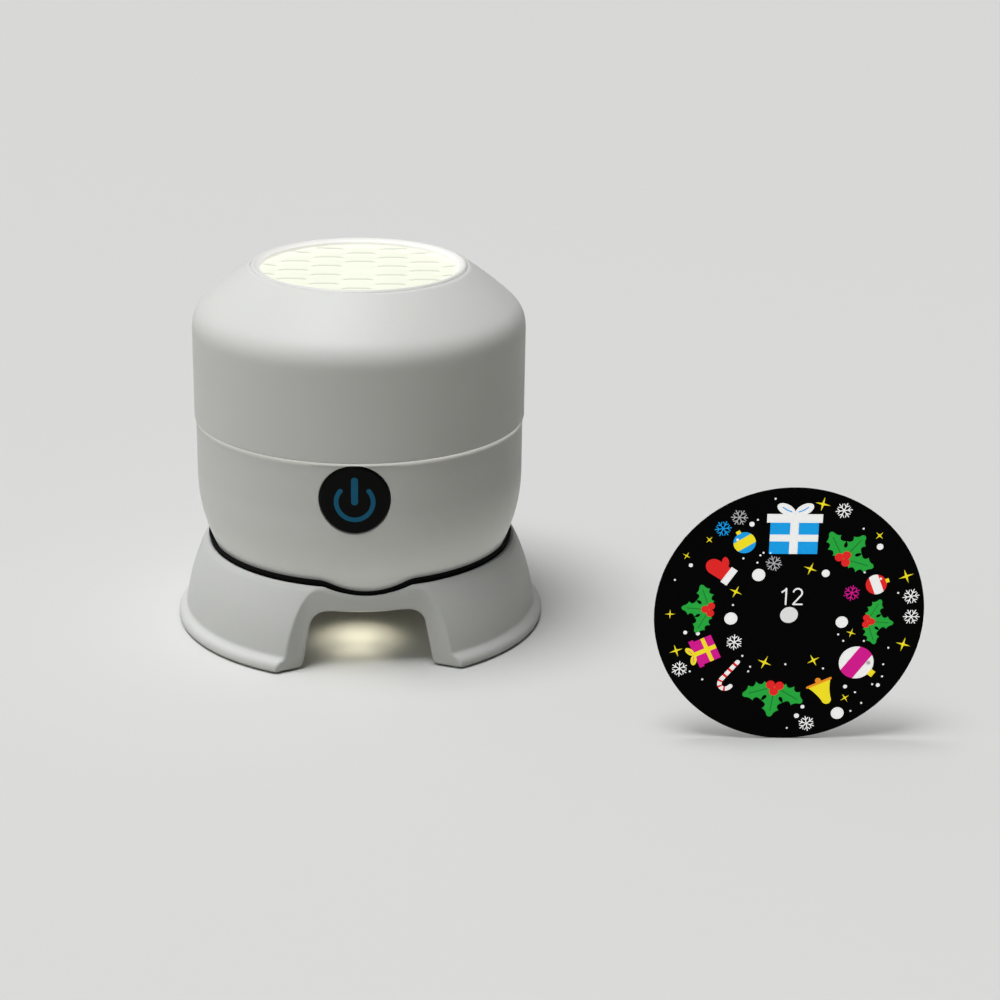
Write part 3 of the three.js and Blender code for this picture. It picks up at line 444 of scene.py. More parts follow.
# Upper shell: the outer line and the same line moved in by the wall, joined under the rim by the
# ledge that carries the lens, all turned about the lamp's axis
def makeUpperShell():
    radius = (coverHigh[0] - coverLow[0]) / 2
    opening = (bezelHigh[0] - bezelLow[0]) / 2 + cover["rimGap"]
    inner = radius - cover["wall"]
    ledgeTop = lensLow[2] - cover["lensSeat"]
    ledgeBottom = ledgeTop - cover["lensLedge"]
    ledgeInner = (lensHigh[0] - lensLow[0]) / 2 - cover["ledgeReach"]
    outside, inside = coverLine(0), coverLine(cover["wall"])
    inside = inside[inside[:, 1] < ledgeBottom - 0.5][::-1]
    corners = [[opening, coverHigh[2], 0.08], *asCorners(outside[1:]), [radius, coverLow[2], cover["seamSoft"]],
               [inner, coverLow[2], 0.3], *asCorners(inside), [inside[-1, 0] - 1, ledgeBottom, 0.5],
               [ledgeInner, ledgeBottom, 0.2], [ledgeInner, ledgeTop, 0.2], [opening, ledgeTop, 0]]
    points, faces = turned(softLine(corners), steps=240)
    return makeMesh("upperShell", points, faces)


addPiece("upperShell", makeUpperShell(), shellFinish, "cover", "white_plastic", "upper_shell")

bezel = {"wall": 1.8, "lip": 1.3, "fall": 1, "land": 0.9, "lipGap": 0.06}


# Bezel: a ring round the lens, its top falling inward to a lip over the lens's edge
def makeBezel():
    outer = bezelHigh[0] - lampAxis[0]
    inner = outer - bezel["wall"]
    lipLow, lipInner = lensHigh[2] + bezel["lipGap"], inner - bezel["lip"]
    corners = [[inner, bezelLow[2], 0.15], [outer, bezelLow[2], 0.15], [outer, coverHigh[2] - 0.25, 0.2],
               [outer - bezel["land"], bezelHigh[2], 1.1], [lipInner, bezelHigh[2] - bezel["fall"], 0.35],
               [lipInner, lipLow, 0.1], [inner, lipLow, 0.05]]
    points, faces = turned(softLine(corners, steps=8), steps=240)
    reach = np.linalg.norm(points[..., :2] - lampAxis, axis=-1)
    # the lip mark is a painted glow: the whole bezel glows faintly, most at the lip over the lens
    lip = np.clip((outer - bezel["land"] - reach) / (outer - bezel["land"] - lipInner), 0, 1)
    return makeMesh("lensBezel", points, faces, marks={"lip": lip.ravel()})


addPiece("lensBezel", makeBezel(), paintedGlowBezelFinish, "cover", "white_plastic", "lens_bezel")

lens = {"cell": 11.3, "squash": 0.924, "rise": 0.6, "rings": 150, "turns": 480, "flange": 1, "flangeReach": 1.8,
        "shadeDashWidth": 1.1, "shadeDashEnd": 0.5, "shadeDashFade": 0.1, "middle": 6, "edgeSoft": 3, "dome": 2.6}


# How far each point lies in its six-sided cell from the middle towards a side, the nearest
# middle taken from the two rectangular lattices that make up the hexagonal one
def cellShare(x, y):
    pitchX, pitchY = lens["cell"] * math.sqrt(3), lens["cell"]
    best, share, y = np.full(x.shape, np.inf), np.zeros(x.shape), y / lens["squash"] + pitchY / 2
    for shift in (0, 0.5):
        dx = x - (np.round(x / pitchX - shift) + shift) * pitchX
        dy = y - (np.round(y / pitchY - shift) + shift) * pitchY
        nearer = dx**2 + dy**2 < best
        best = np.where(nearer, dx**2 + dy**2, best)
        slanted = abs(dx) * math.sqrt(3) / 2 + abs(dy) / 2
        share = np.where(nearer, np.maximum(abs(dy), slanted) / (lens["cell"] / 2), share)
    return share


# Painted shade of the cell grooves: a dim line on the near side of each cell, level dashes in columns,
# each column half a cell off the last, with faded ends and none over the middle
def shadeDashMark(x, y):
    column = x / (lens["cell"] * math.sqrt(3) / 2)
    row = y / (lens["cell"] * lens["squash"]) + 0.5 * (np.round(column) % 2)
    line = 1 - abs(row - np.round(row)) * lens["cell"] * lens["squash"] / lens["shadeDashWidth"]
    ends = (lens["shadeDashEnd"] - abs(column - np.round(column))) / lens["shadeDashFade"]
    return np.clip(line, 0, 1) * np.clip(ends, 0, 1) * np.clip(np.hypot(x, y) - lens["middle"], 0, 1)


# Lens: rings of points whose height is the dome of their cell, closed below by the plate
def makeLens():
    flangeRadius = (lensHigh[0] - lensLow[0]) / 2
    radius = flangeRadius - lens["flangeReach"]
    angle = np.arange(lens["turns"]) / lens["turns"] * 2 * np.pi
    ring = np.linspace(0, radius, lens["rings"])
    x, y = np.outer(np.cos(angle), ring), np.outer(np.sin(angle), ring)
    rimFade = np.clip((radius - ring) / lens["edgeSoft"], 0, 1)
    height = lensHigh[2] - lens["rise"] * cellShare(x, y) ** lens["dome"] * rimFade
    top = np.stack([lampAxis[0] + x, lampAxis[1] + y, height], -1)
    below = np.array([[radius, lensLow[2] + lens["flange"]], [flangeRadius, lensLow[2] + lens["flange"]],
                      [flangeRadius, lensLow[2]], [0, lensLow[2]]])
    side, _ = turned(below, steps=lens["turns"], closedLine=False)
    points = np.concatenate([top, side], 1)
    # painted shade dashes, faded out towards the lens's rim
    dashes = shadeDashMark(x, y) * np.clip(rimFade * 2, 0, 1)
    glowDim = np.concatenate([dashes, np.zeros((lens["turns"], len(below)))], 1)
    faces = gridFaces(points.shape[0], points.shape[1], True, False)
    return makeMesh("honeycombLens", points, faces, marks={"glowDim": glowDim.ravel()})


addPiece("honeycombLens", makeLens(), lensFinish, "cover", "glowing_lens", "honeycomb_lens")
print("cover made")


# Lower shell: a wall over a bowl, with a round hole for the button and a slot for the socket

# The lower shell's painted light is set here too: a painted highlight along the top edge under the seam and a
# painted glow on the lower bowl
shell = {"wall": 2, "bowlCentre": 47, "neckDrop": 5, "neckWall": 1.8, "coverRun": 2.4, "seamGap": 0.3,
         "windowGap": 0.3, "windowFlange": 2.6, "softTop": 1.0, "seamHighlightTall": 0.6, "bowlPaintedGlow": 0.4, "paintedGlowTop": 50,
         "paintedGlowFade": 20, "columns": 220, "rowTall": 0.9, "holeSoft": 0.4, "rings": 8, "buttonPatch": 13,
         "buttonDrop": 12, "socketPatch": (8, 4), "postRise": 3.7, "postDrop": 26,
         "postRadius": 3.2, "postHole": 1.4, "postCircle": 39, "postTurns": (50, 115, 215, 320)}
button = {"radius": 10.1, "gap": 0.25, "flangeReach": 0.8, "flange": 1, "soft": 0.5, "turns": 96}
socket = {"width": 9, "height": 3.3, "gap": 0.3, "side": 3}


# The radius of the outer and the inner wall at a height: a sphere below the bowl's centre and a
# cylinder above it; the inner one narrows to the neck in a straight taper
def outerRadius(z):
    radius = (shellHigh[0] - shellLow[0]) / 2
    return np.sqrt(radius**2 - np.minimum(z - shell["bowlCentre"], 0) ** 2)


def innerRadius(z):
    radius = (shellHigh[0] - shellLow[0]) / 2 - shell["wall"]
    neck = coverHigh[0] - lampAxis[0] - shell["coverRun"] - shell["neckWall"]
    neckBase = coverLow[2] - shell["seamGap"] - shell["neckDrop"]
    sphere = np.sqrt(radius**2 - np.minimum(z - shell["bowlCentre"], 0) ** 2)
    return np.minimum(sphere, np.interp(z, [neckBase - shell["wall"], neckBase], [radius, neck]))


# Distance from the middle of a round or stadium-shaped hole to its edge, in each direction
def holeReach(direction, halfWidth, halfHeight):
    c, s = np.abs(np.cos(direction)), np.abs(np.sin(direction))
    flat = halfWidth - halfHeight
    toFlat = halfHeight / np.maximum(s, 1e-6)
    toRound = flat * c + np.sqrt(np.maximum(halfHeight**2 - (flat * s) ** 2, 0))
    return np.where(toFlat * c <= flat, toFlat, toRound)


# A hole through both walls: rings run from a rectangle in the outer grid to the hole's edge,
# round the edge, through the wall, and out to the same rectangle in the inner grid
def holeRings(outerLoop, innerLoop, middle, halfWidth, halfHeight, facing):
    def flat(loop):  # sideways distance along the wall and height, seen from outside
        angle = np.arctan2(loop[:, 1] - lampAxis[1], loop[:, 0] - lampAxis[0]) - facing
        angle = (angle + np.pi) % (2 * np.pi) - np.pi
        return angle, loop[:, 2]

    def place(angle, z, radius):
        return np.stack([lampAxis[0] + radius * np.cos(angle + facing),
                         lampAxis[1] + radius * np.sin(angle + facing), z], -1)

    sideways, up = middle
    outerAngle, outerZ = flat(outerLoop)
    innerAngle, innerZ = flat(innerLoop)
    wall = (shellHigh[0] - shellLow[0]) / 2
    direction = np.arctan2(outerZ - up, outerAngle * wall - sideways)
    reach = holeReach(direction, halfWidth, halfHeight)
    soft = shell["holeSoft"]
    rings = []
    for share in np.linspace(0, 1, shell["rings"]):
        edge = reach + soft
        x, z = sideways + edge * np.cos(direction), up + edge * np.sin(direction)
        angle = np.arcsin(x / outerRadius(z))
        angle, z = outerAngle + (angle - outerAngle) * share, outerZ + (z - outerZ) * share
        rings.append(place(angle, z, outerRadius(z)))
    for turn in np.linspace(0, np.pi / 2, 5)[1:]:
        edge, depth = reach + soft * (1 - math.sin(turn)), soft * (1 - math.cos(turn))
        x, z = sideways + edge * np.cos(direction), up + edge * np.sin(direction)
        rings.append(place(np.arcsin(x / (outerRadius(z) - depth)), z, outerRadius(z) - depth))
    x, z = sideways + reach * np.cos(direction), up + reach * np.sin(direction)
    holeAngle = np.arcsin(x / innerRadius(z))
    for share in np.linspace(0, 1, shell["rings"]):
        angle, zed = holeAngle + (innerAngle - holeAngle) * share, z + (innerZ - z) * share
        rings.append(place(angle, zed, innerRadius(zed)))
    rings = np.stack(rings)
    return rings, gridFaces(rings.shape[0], rings.shape[1], False, True)


# Lower shell: one line up the outer wall, over the neck, down the inner wall and over the floor
# to the window's opening, turned about the lamp's axis; where a hole comes, a rectangle of the
# grid gives way to that hole's rings, and four screw posts stand inside
def makeLowerShell():
    floor, top = shellLow[2], coverLow[2] - shell["seamGap"]
    neckOuter = coverHigh[0] - lampAxis[0] - shell["coverRun"]
    opening = boxOf("bottom_window")[1][0] - lampAxis[0] - shell["windowFlange"] + shell["windowGap"]
    buttonZ = (buttonLow[2] + buttonHigh[2]) / 2
    socketLow, socketHigh = boxOf("usb_socket")
    socketZ = (socketLow[2] + socketHigh[2]) / 2
    patchWide, patchTall = shell["socketPatch"]
    marks = [buttonZ - shell["buttonDrop"], top - shell["softTop"] * 0.4, socketZ - patchTall, socketZ + patchTall]
    spans = sorted([floor, shell["bowlCentre"], *marks])
    levels = np.concatenate([np.linspace(a, b, max(2, round((b - a) / shell["rowTall"])), endpoint=False)
                             for a, b in zip(spans[:-1], spans[1:])] + [[marks[1]]])
    outer = np.stack([outerRadius(levels), levels], 1)
    wall = outer[-1, 0]
    rim = softLine([[wall, marks[1], 0], [wall - 0.001, top, shell["softTop"] * 0.35], [neckOuter, top, 0.2],
                    [neckOuter, shellHigh[2], 0.3], [neckOuter - shell["neckWall"], shellHigh[2], 0.3],
                    [neckOuter - shell["neckWall"], marks[1], 0]], False)[1:-1]
    inLevels = levels[levels >= floor + shell["wall"]]
    inner = np.stack([innerRadius(inLevels), inLevels], 1)[::-1]
    inFloor = floor + shell["wall"]
    base = softLine([[inner[-1, 0], inner[-1, 1], 0], [innerRadius(inFloor), inFloor, 0], [opening, inFloor, 0.2],
                     [opening, floor, 0.3], [outer[0, 0], floor, 0]], False)[1:-1]
    line = np.concatenate([outer, rim, inner, base])
    half = math.asin(shell["buttonPatch"] / wall)
    socketHalf, socketTurn = math.asin(patchWide / wall), math.asin(socket["side"] / wall)
    stops = [-math.pi / 2 - half, -math.pi / 2 + half, math.pi / 2 - socketTurn - socketHalf,
             math.pi / 2 - socketTurn + socketHalf, 3 * math.pi / 2 - half]
    counts = [max(3, round((b - a) / (2 * math.pi) * shell["columns"])) for a, b in zip(stops[:-1], stops[1:])]
    angles = np.concatenate([np.linspace(a, b, count, endpoint=False)
                             for a, b, count in zip(stops[:-1], stops[1:], counts)])
    points = np.stack([lampAxis[0] + np.outer(np.cos(angles), line[:, 0]),
                       lampAxis[1] + np.outer(np.sin(angles), line[:, 0]),
                       np.tile(line[:, 1], (len(angles), 1))], -1)
    faces = gridFaces(len(angles), len(line), True, True)
    keep = np.ones(len(faces), bool)
    parts = []
    innerStart = len(outer) + len(rim)

    def rows(low, high):  # the outer rows between two heights, and the inner rows that match
        first, last = np.argmin(abs(levels - low)), np.argmin(abs(levels - high))
        innerRow = innerStart + len(inLevels) - 1 - np.array([
            np.argmin(abs(inLevels - levels[first])), np.argmin(abs(inLevels - levels[last]))])
        return (first, last), tuple(innerRow)

    holes = [
        {"stops": (stops[0], stops[1]), "heights": (marks[0], marks[1]), "middle": (0, buttonZ),
         "facing": -np.pi / 2, "half": (button["radius"] + button["gap"],) * 2},
        {"stops": (stops[2], stops[3]), "heights": (marks[2], marks[3]), "middle": (-socket["side"], socketZ),
         "facing": np.pi / 2,
         "half": (socket["width"] / 2 + socket["gap"], socket["height"] / 2 + socket["gap"])}]
    for hole in holes:
        first, last = [int(np.argmin(abs(angles - stop))) for stop in hole["stops"]]
        (low, high), (innerLow, innerHigh) = rows(*hole["heights"])
        columns = np.arange(first, last + 1)

        def loop(a, b):  # the rectangle's edge, round once
            step = 1 if b > a else -1
            up = np.arange(a, b + step, step)
            return np.concatenate([points[columns, a], points[last, up[1:]], points[columns[::-1][1:], b],
                                   points[first, up[::-1][1:-1]]])

        parts.append(holeRings(loop(low, high), loop(innerLow, innerHigh), hole["middle"], *hole["half"],
                               hole["facing"]))
        column, row = np.divmod(np.arange(len(faces)), len(line))
        inColumns = (column >= first) & (column < last)
        keep &= ~(inColumns & (row >= low) & (row < high))
        keep &= ~(inColumns & (row >= innerHigh) & (row < innerLow))
    for turn in shell["postTurns"]:
        way = np.array([math.cos(math.radians(turn)), math.sin(math.radians(turn))])
        centre = lampAxis + shell["postCircle"] * way
        top, bottom = boxOf("main_board")[1][2] + shell["postRise"], shell["bowlCentre"] - shell["postDrop"]
        bore, radius = shell["postHole"], shell["postRadius"]
        post = [[bore, top, 0.2], [radius, top, 0.3], [radius, bottom, 0], [bore, bottom, 0]]
        parts.append(turned(softLine(post), centre, 24))
    allPoints, allFaces = joined([(points, faces[keep]), *parts])
    # The lip mark is painted light: a painted highlight along the shell's top edge under the seam, and a painted
    # glow on the bowl that fades out upwards
    overTop = allPoints[:, 2] - coverLow[2] + shell["seamGap"]
    lip = np.clip((overTop + shell["seamHighlightTall"]) / shell["seamHighlightTall"] * 2, 0, 1) * (overTop < 0.01)
    bowl = np.clip((shell["paintedGlowTop"] - allPoints[:, 2]) / shell["paintedGlowFade"], 0, 1)
    lip = np.maximum(lip, shell["bowlPaintedGlow"] * bowl)
    return makeMesh("lowerShell", allPoints, allFaces, marks={"lip": lip})


addPiece("lowerShell", makeLowerShell(), paintedGlowShellFinish, "lamp", "white_plastic", "lower_shell")
print("lower shell made")


# Button: a round cap whose face follows the shell's wall, and its printed symbol

# Rings over the face, round its edge, down the side and over the flange to the back; the
# face's depth is that of a cylinder about the lamp's axis
def makeButton():
    centreZ = (buttonLow[2] + buttonHigh[2]) / 2
    flange = (buttonHigh[2] - buttonLow[2]) / 2
    radius, soft = flange - button["flangeReach"], button["soft"]
    face = lampAxis[1] - buttonLow[1]
    backY, flangeFront = lampAxis[1] - buttonHigh[1], lampAxis[1] - buttonHigh[1] + button["flange"]
    turns = np.arange(button["turns"]) / button["turns"] * 2 * np.pi
    rows = [(r, face, True, 0) for r in np.linspace(0, radius - soft, 16)]
    rows += [(radius - soft + soft * math.sin(a), face, True, soft * (1 - math.cos(a)))
             for a in np.linspace(0, math.pi / 2, 7)[1:]]
    rows += [(radius, flangeFront, False, 0), (flange, flangeFront, False, 0), (flange, backY, False, 0),
             (0, backY, False, 0)]
    rings = []
    for r, y, curved, depth in rows:
        x, z = r * np.cos(turns), r * np.sin(turns)
        out = (np.sqrt(y**2 - x**2) if curved else np.full_like(x, y)) - depth
        rings.append(np.stack([lampAxis[0] + x, lampAxis[1] - out, centreZ + z], -1))
    rings = np.stack(rings)
    return makeMesh("buttonCap", rings, gridFaces(rings.shape[0], rings.shape[1], False, True))


addPiece("buttonCap", makeButton(), buttonFinish, "button", "black_gloss", "button_cap")

symbol = {"radius": 5.3, "width": 1.35, "lift": -0.5, "openTurn": 50, "barWidth": 2, "barTop": 7.05,
          "barBottom": -1.4, "colour": (0.007, 0.09, 0.165, 1), "thickness": 0.05, "steps": 48}


# The broken ring and the bar as bands with round ends, laid on the cap's curved face
def makeSymbol():
    centreZ = (buttonLow[2] + buttonHigh[2]) / 2
    face = lampAxis[1] - buttonLow[1]
    opening = math.radians(symbol["openTurn"])
    angle = np.linspace(math.pi / 2 + opening, math.pi / 2 + 2 * math.pi - opening, symbol["steps"])
    arc = np.stack([symbol["radius"] * np.cos(angle), symbol["lift"] + symbol["radius"] * np.sin(angle)], 1)
    barEnd = symbol["barWidth"] / 2
    bar = np.stack([np.zeros(6), np.linspace(symbol["barBottom"] + barEnd, symbol["barTop"] - barEnd, 6)], 1)

    def strip(path, width):  # a band as a grid across its width, on the face and sunk under it
        along = np.gradient(path, axis=0)
        along /= np.linalg.norm(along, axis=1)[:, None]
        side = np.stack([-along[:, 1], along[:, 0]], 1)
        start, end = np.linspace(1, 0, 5, endpoint=False), np.linspace(0, 1, 6)[1:]
        far = np.concatenate([path[:1] - along[:1] * width / 2 * start[:, None], path,
                              path[-1:] + along[-1:] * width / 2 * end[:, None]])
        full = np.concatenate([np.sqrt(1 - start**2), np.ones(len(path)), np.sqrt(np.maximum(1 - end**2, 0))])
        sides = np.concatenate([np.repeat(side[:1], 5, 0), side, np.repeat(side[-1:], 5, 0)])
        across = np.linspace(-0.5, 0.5, 5) * width
        grid = far[:, None] + sides[:, None] * (across[None, :, None] * full[:, None, None])
        layers = []
        for lift in (symbol["thickness"], -symbol["thickness"]):
            out = np.sqrt((face + lift) ** 2 - grid[..., 0] ** 2)
            layers.append(np.stack([lampAxis[0] + grid[..., 0], lampAxis[1] - out, centreZ + grid[..., 1]], -1))
        loop = np.concatenate([layers[0], layers[1][:, ::-1]], 1)
        return loop, gridFaces(loop.shape[0], loop.shape[1], False, True)

    points, faces = joined([strip(arc, symbol["width"]), strip(bar, symbol["barWidth"])])
    return makeMesh("powerSymbol", points, faces, marks={"ink": np.tile(symbol["colour"], (len(points), 1))})


addPiece("powerSymbol", makeSymbol(), symbolInk, "button", "black_gloss")
print("button made")


# Stand: two flared legs under a round seat, with an arch and a leaning flat on two sides

stand = {"turn": 4.5, "seatGap": 1.5, "land": 0.8, "footReach": 9.23, "beadHeight": 3.2, "beadReach": 2.6,
         "belly": 1.5, "boreInset": 12, "seatDepth": 11, "lip": 2.4, "bridgeInset": 1.74, "facetStart": 18.7,
         "facetSlope": 0.45, "archHeight": 18, "archFoot": 19.4, "archTop": 16.2, "archCorner": 5, "archSag": 0.4,
         "footCorner": 2, "soft": 0.8, "facetSoft": 0.3, "bridgeSoft": 1.2, "crestWide": 0.5, "crestSoft": 0.42,
         "crestReach": 1.4, "crestLand": 0.4, "crestDrop": 1, "bridgeDrop": 0.4, "crestDip": 3, "sideStart": 34,
         "archSteps": 0.4, "legSteps": 70, "wallSteps": 54, "innerSteps": 26, "tunnelSteps": 5, "softSteps": 5}


def smoothMin(a, b, width):  # the lesser of two, rounded over a width where they meet
    share = np.clip(0.5 + 0.5 * (b - a) / width, 0, 1)
    return b + (a - b) * share - width * share * (1 - share)


seatSphere = (shellHigh[0] - shellLow[0]) / 2 + stand["seatGap"]
crestHeight, footLift = standHigh[2], standLow[2]


def onStand(points):  # from the stand's own front to its turned place about the lamp's axis
    c, s = math.cos(math.radians(stand["turn"])), math.sin(math.radians(stand["turn"]))
    points = points @ np.array([[c, s, 0], [-s, c, 0], [0, 0, 1]])
    points[..., :2] += lampAxis
    return points


def seatRadius(z):  # the seat is part of a sphere a little larger than the bowl
    return np.sqrt(np.maximum(seatSphere**2 - (shell["bowlCentre"] - z) ** 2, 1))


crestInner = float(seatRadius(crestHeight))
crestOuter = crestInner + stand["crestWide"]
footRadius = crestOuter + stand["footReach"]


# Outer radius by height: the foot bead's arc, then a curve up to the crest, evened out a little
def makeWallTable():
    wallFoot = footRadius - stand["beadReach"]
    beadTop = footLift + stand["beadHeight"]
    z = np.linspace(footLift, crestHeight, 400)
    beadMiddle = footLift + stand["beadHeight"] / 3
    bead = wallFoot + np.sqrt(np.maximum(stand["beadReach"] ** 2 - np.maximum(z - beadMiddle, 0) ** 2, 0))
    s = np.linspace(0, 1, 200)
    ends = [(wallFoot, beadTop + stand["beadHeight"] / 2),
            (wallFoot - stand["belly"], (crestHeight + beadTop) / 2 + stand["belly"]), (crestOuter, crestHeight)]
    curve = [(1 - s) ** 2 * ends[0][k] + 2 * s * (1 - s) * ends[1][k] + s**2 * ends[2][k] for k in (0, 1)]
    wall = np.interp(z, curve[1], curve[0])
    radius = np.where(z < beadMiddle + stand["beadReach"], np.maximum(bead, wall), wall)
    kernel = np.exp(-np.linspace(-2, 2, 41) ** 2)
    padded = np.pad(radius, 20, mode="edge")
    return z, np.convolve(padded, kernel / kernel.sum(), mode="valid")


wallHeights, wallRadii = makeWallTable()


def outerOfStand(z):  # read from the table
    return np.interp(z, wallHeights, wallRadii)


# Inner radius by height: the seat's sphere, a straight throat, then a taper out to the bore
def innerOfStand(z):
    seatBottom = crestHeight - stand["seatDepth"]
    throat = float(seatRadius(seatBottom))
    bore = footRadius - stand["boreInset"]
    under = np.interp(z, [footLift, seatBottom - stand["lip"], seatBottom], [bore, throat, throat])
    return np.where(z > seatBottom, seatRadius(z), under)


# The outer face over an arch, as the distance in front of the axis: the wall, cut by the upright
# bridge face and by the facet that leans away on each side of it
def frontFace(x, z):
    wall = np.sqrt(np.maximum(outerOfStand(z) ** 2 - x**2, 1))
    bridge = crestOuter - stand["bridgeInset"]
    facet = bridge + stand["facetSlope"] * (np.abs(x) - stand["facetStart"])
    return smoothMin(wall, -smoothMin(-facet, -bridge, stand["bridgeSoft"]), stand["facetSoft"])


def backFace(x, z):  # the inner face over an arch, as its distance in front of the axis
    return np.sqrt(np.maximum(innerOfStand(z) ** 2 - x**2, 1))


# Height of the crest over an arch: where the outer face comes within three quarters of the land
# of the seat, found by halving between the arch and the full crest
def crestOver(x):
    low, high = np.full_like(x, stand["archHeight"]), np.full_like(x, crestHeight)
    for _ in range(24):
        middle = (low + high) / 2
        thick = frontFace(x, middle) - backFace(x, middle) > stand["land"] * 0.75
        low, high = np.where(thick, middle, low), np.where(thick, high, middle)
    return low


# The arch seen from the front: along the floor, round the foot corner, up the side, round the
# top corner and over a slightly bowed crown; with the normals that point into the plastic
def archOutline():
    start = stand["sideStart"]
    half = [[start, footLift, 0], [stand["archFoot"], footLift, stand["footCorner"]],
            [stand["archTop"], stand["archHeight"], stand["archCorner"]]]
    corners = [[-x, z, s] for x, z, s in half] + [[0, stand["archHeight"] - stand["archSag"], 20]]
    corners += [[x, z, s] for x, z, s in half[::-1]]
    line = softLine(corners, False, 9)
    length = np.concatenate([[0], np.cumsum(np.linalg.norm(np.diff(line, axis=0), axis=1))])
    even = np.linspace(0, length[-1], round(length[-1] / stand["archSteps"]))
    line = np.stack([np.interp(even, length, line[:, k]) for k in (0, 1)], 1)
    along = np.gradient(line, axis=0)
    along /= np.linalg.norm(along, axis=1)[:, None]
    return line, np.stack([-along[:, 1], along[:, 0]], 1)


# Sections round the ring: each one goes over the underside, round its outer edge, up the outer
# wall, over the crest, down the seat and round the inner edge. Over an arch the sections are
# upright planes across the lamp; along a leg they turn from one such plane to the next. The crest
# stops short of the seat's top, less so over an arch, which leaves the lining's edge in sight.
def makeStand():
    line, normal = archOutline()
    soft, steps = stand["soft"], np.linspace(0, 1, stand["softSteps"] + 1)
    legShare = np.linspace(0, 1, stand["legSteps"])[1:-1]
    baseX = np.concatenate([line[:, 0], np.zeros(len(legShare))])
    baseZ = np.concatenate([line[:, 1], np.full(len(legShare), footLift)])
    normalX = np.concatenate([normal[:, 0], np.zeros(len(legShare))])
    normalZ = np.concatenate([normal[:, 1], np.ones(len(legShare))])
    onLeg = np.arange(len(baseX)) >= len(line)
    share = np.concatenate([np.zeros(len(line)), legShare])

    # side place, height and depth to a point of the first half turn, for the front arch and leg
    def lay(x, z, depth):
        radius = np.where(onLeg, depth, np.hypot(x, depth))
        edge = np.arcsin(np.clip(stand["sideStart"] / radius, -1, 1))
        turn = np.where(onLeg, edge + (np.pi - 2 * edge) * share, np.arctan2(x, depth))
        return np.stack([radius * np.sin(turn), -radius * np.cos(turn), z], -1)

    def outer(x, z):
        return np.where(onLeg, outerOfStand(z), frontFace(x, z))

    def inner(x, z):
        return np.where(onLeg, innerOfStand(z), backFace(x, z))

    edgeX, edgeZ = baseX + soft * normalX, baseZ + soft * normalZ
    crest = np.where(onLeg, crestHeight, crestOver(np.where(onLeg, 0, edgeX)))
    crest -= np.interp(crestHeight - crest, [0, stand["crestDip"]], [stand["crestDrop"], stand["bridgeDrop"]])
    rows = []
    for k in np.linspace(0, 1, stand["tunnelSteps"]):
        near, far = inner(baseX, baseZ + 0.01) + soft, outer(baseX, baseZ + 0.01) - soft
        rows.append(lay(baseX, baseZ, near + (far - near) * k))
    for a in steps[1:] * np.pi / 2:
        x, z = baseX + soft * (1 - math.cos(a)) * normalX, baseZ + soft * (1 - math.cos(a)) * normalZ
        rows.append(lay(x, z, outer(x, z) - soft * (1 - math.sin(a))))
    land = stand["crestLand"]
    for k in np.linspace(0, 1, stand["wallSteps"])[1:] ** 0.8:
        z = edgeZ + (crest - land - edgeZ) * k
        drop = np.clip((z - crest + land) / stand["crestReach"] + 1, 0, 0.96)
        rows.append(lay(edgeX, z, outer(edgeX, z) - stand["crestSoft"] * (1 - np.sqrt(1 - drop**2))))
    outerTop = outer(edgeX, crest - land) - stand["crestSoft"] * (1 - math.sqrt(1 - 0.96**2))
    innerTop = inner(edgeX, crest - land)
    for a in np.linspace(0, np.pi, 9)[1:-1]:
        middle, half = (outerTop + innerTop) / 2, (outerTop - innerTop) / 2
        rows.append(lay(edgeX, crest - land + land * math.sin(a), middle + half * math.cos(a)))
    for k in np.linspace(0, 1, stand["innerSteps"]):
        z = crest - land + (edgeZ - crest + land) * k
        rows.append(lay(edgeX, z, inner(edgeX, z)))
    for a in steps[:-1][::-1] * np.pi / 2:
        x, z = baseX + soft * (1 - math.cos(a)) * normalX, baseZ + soft * (1 - math.cos(a)) * normalZ
        rows.append(lay(x, z, inner(x, z) + soft * (1 - math.sin(a))))
    half = np.stack(rows, 1)
    whole = onStand(np.concatenate([half, half * [-1, -1, 1]]))
    return makeMesh("standBody", whole, gridFaces(whole.shape[0], whole.shape[1], True, True))


addPiece("standBody", makeStand(), shadedStandFinish, "stand", "white_plastic", "stand")

lining = {"thickness": 0.9, "rise": 0.55, "round": 0.3, "gap": 0.3, "steps": 360}


# Lining: a thin band on the seat's sphere, its top following the crest
def makeLining():
    angle = np.arange(lining["steps"]) / lining["steps"] * 2 * np.pi
    side = np.abs(np.sin(angle)) * crestOuter
    overArch = side < stand["sideStart"]
    top = np.where(overArch, crestOver(np.minimum(side, stand["sideStart"])), crestHeight)
    kernel = np.hanning(9) / np.hanning(9).sum()
    top = np.convolve(np.concatenate([top[-4:], top, top[:4]]), kernel, mode="valid") + lining["rise"]
    outer = seatSphere - lining["gap"]
    inner = outer - lining["thickness"]
    bottom = crestHeight - stand["seatDepth"] + 0.3
    middle = (outer + inner) / 2
    line = [(outer, bottom + (top - bottom) * k) for k in np.linspace(0, 1, 12)]
    line += [(middle + lining["thickness"] / 2 * math.cos(a), top + lining["round"] * math.sin(a))
             for a in (0.8, 1.57, 2.3)]
    line += [(inner, bottom + (top - bottom) * k) for k in np.linspace(1, 0, 12)]
    rows = []
    for radius, z in line:
        z = np.broadcast_to(z, angle.shape)
        r = np.sqrt(radius**2 - (shell["bowlCentre"] - z) ** 2)
        rows.append(np.stack([r * np.sin(angle), -r * np.cos(angle), z], -1))
    points = onStand(np.stack(rows, 1))
    return makeMesh("seatLining", points, gridFaces(points.shape[0], points.shape[1], True, True))


addPiece("seatLining", makeLining(), rubberFinish, "stand", "black_rubber", "seat_lining")

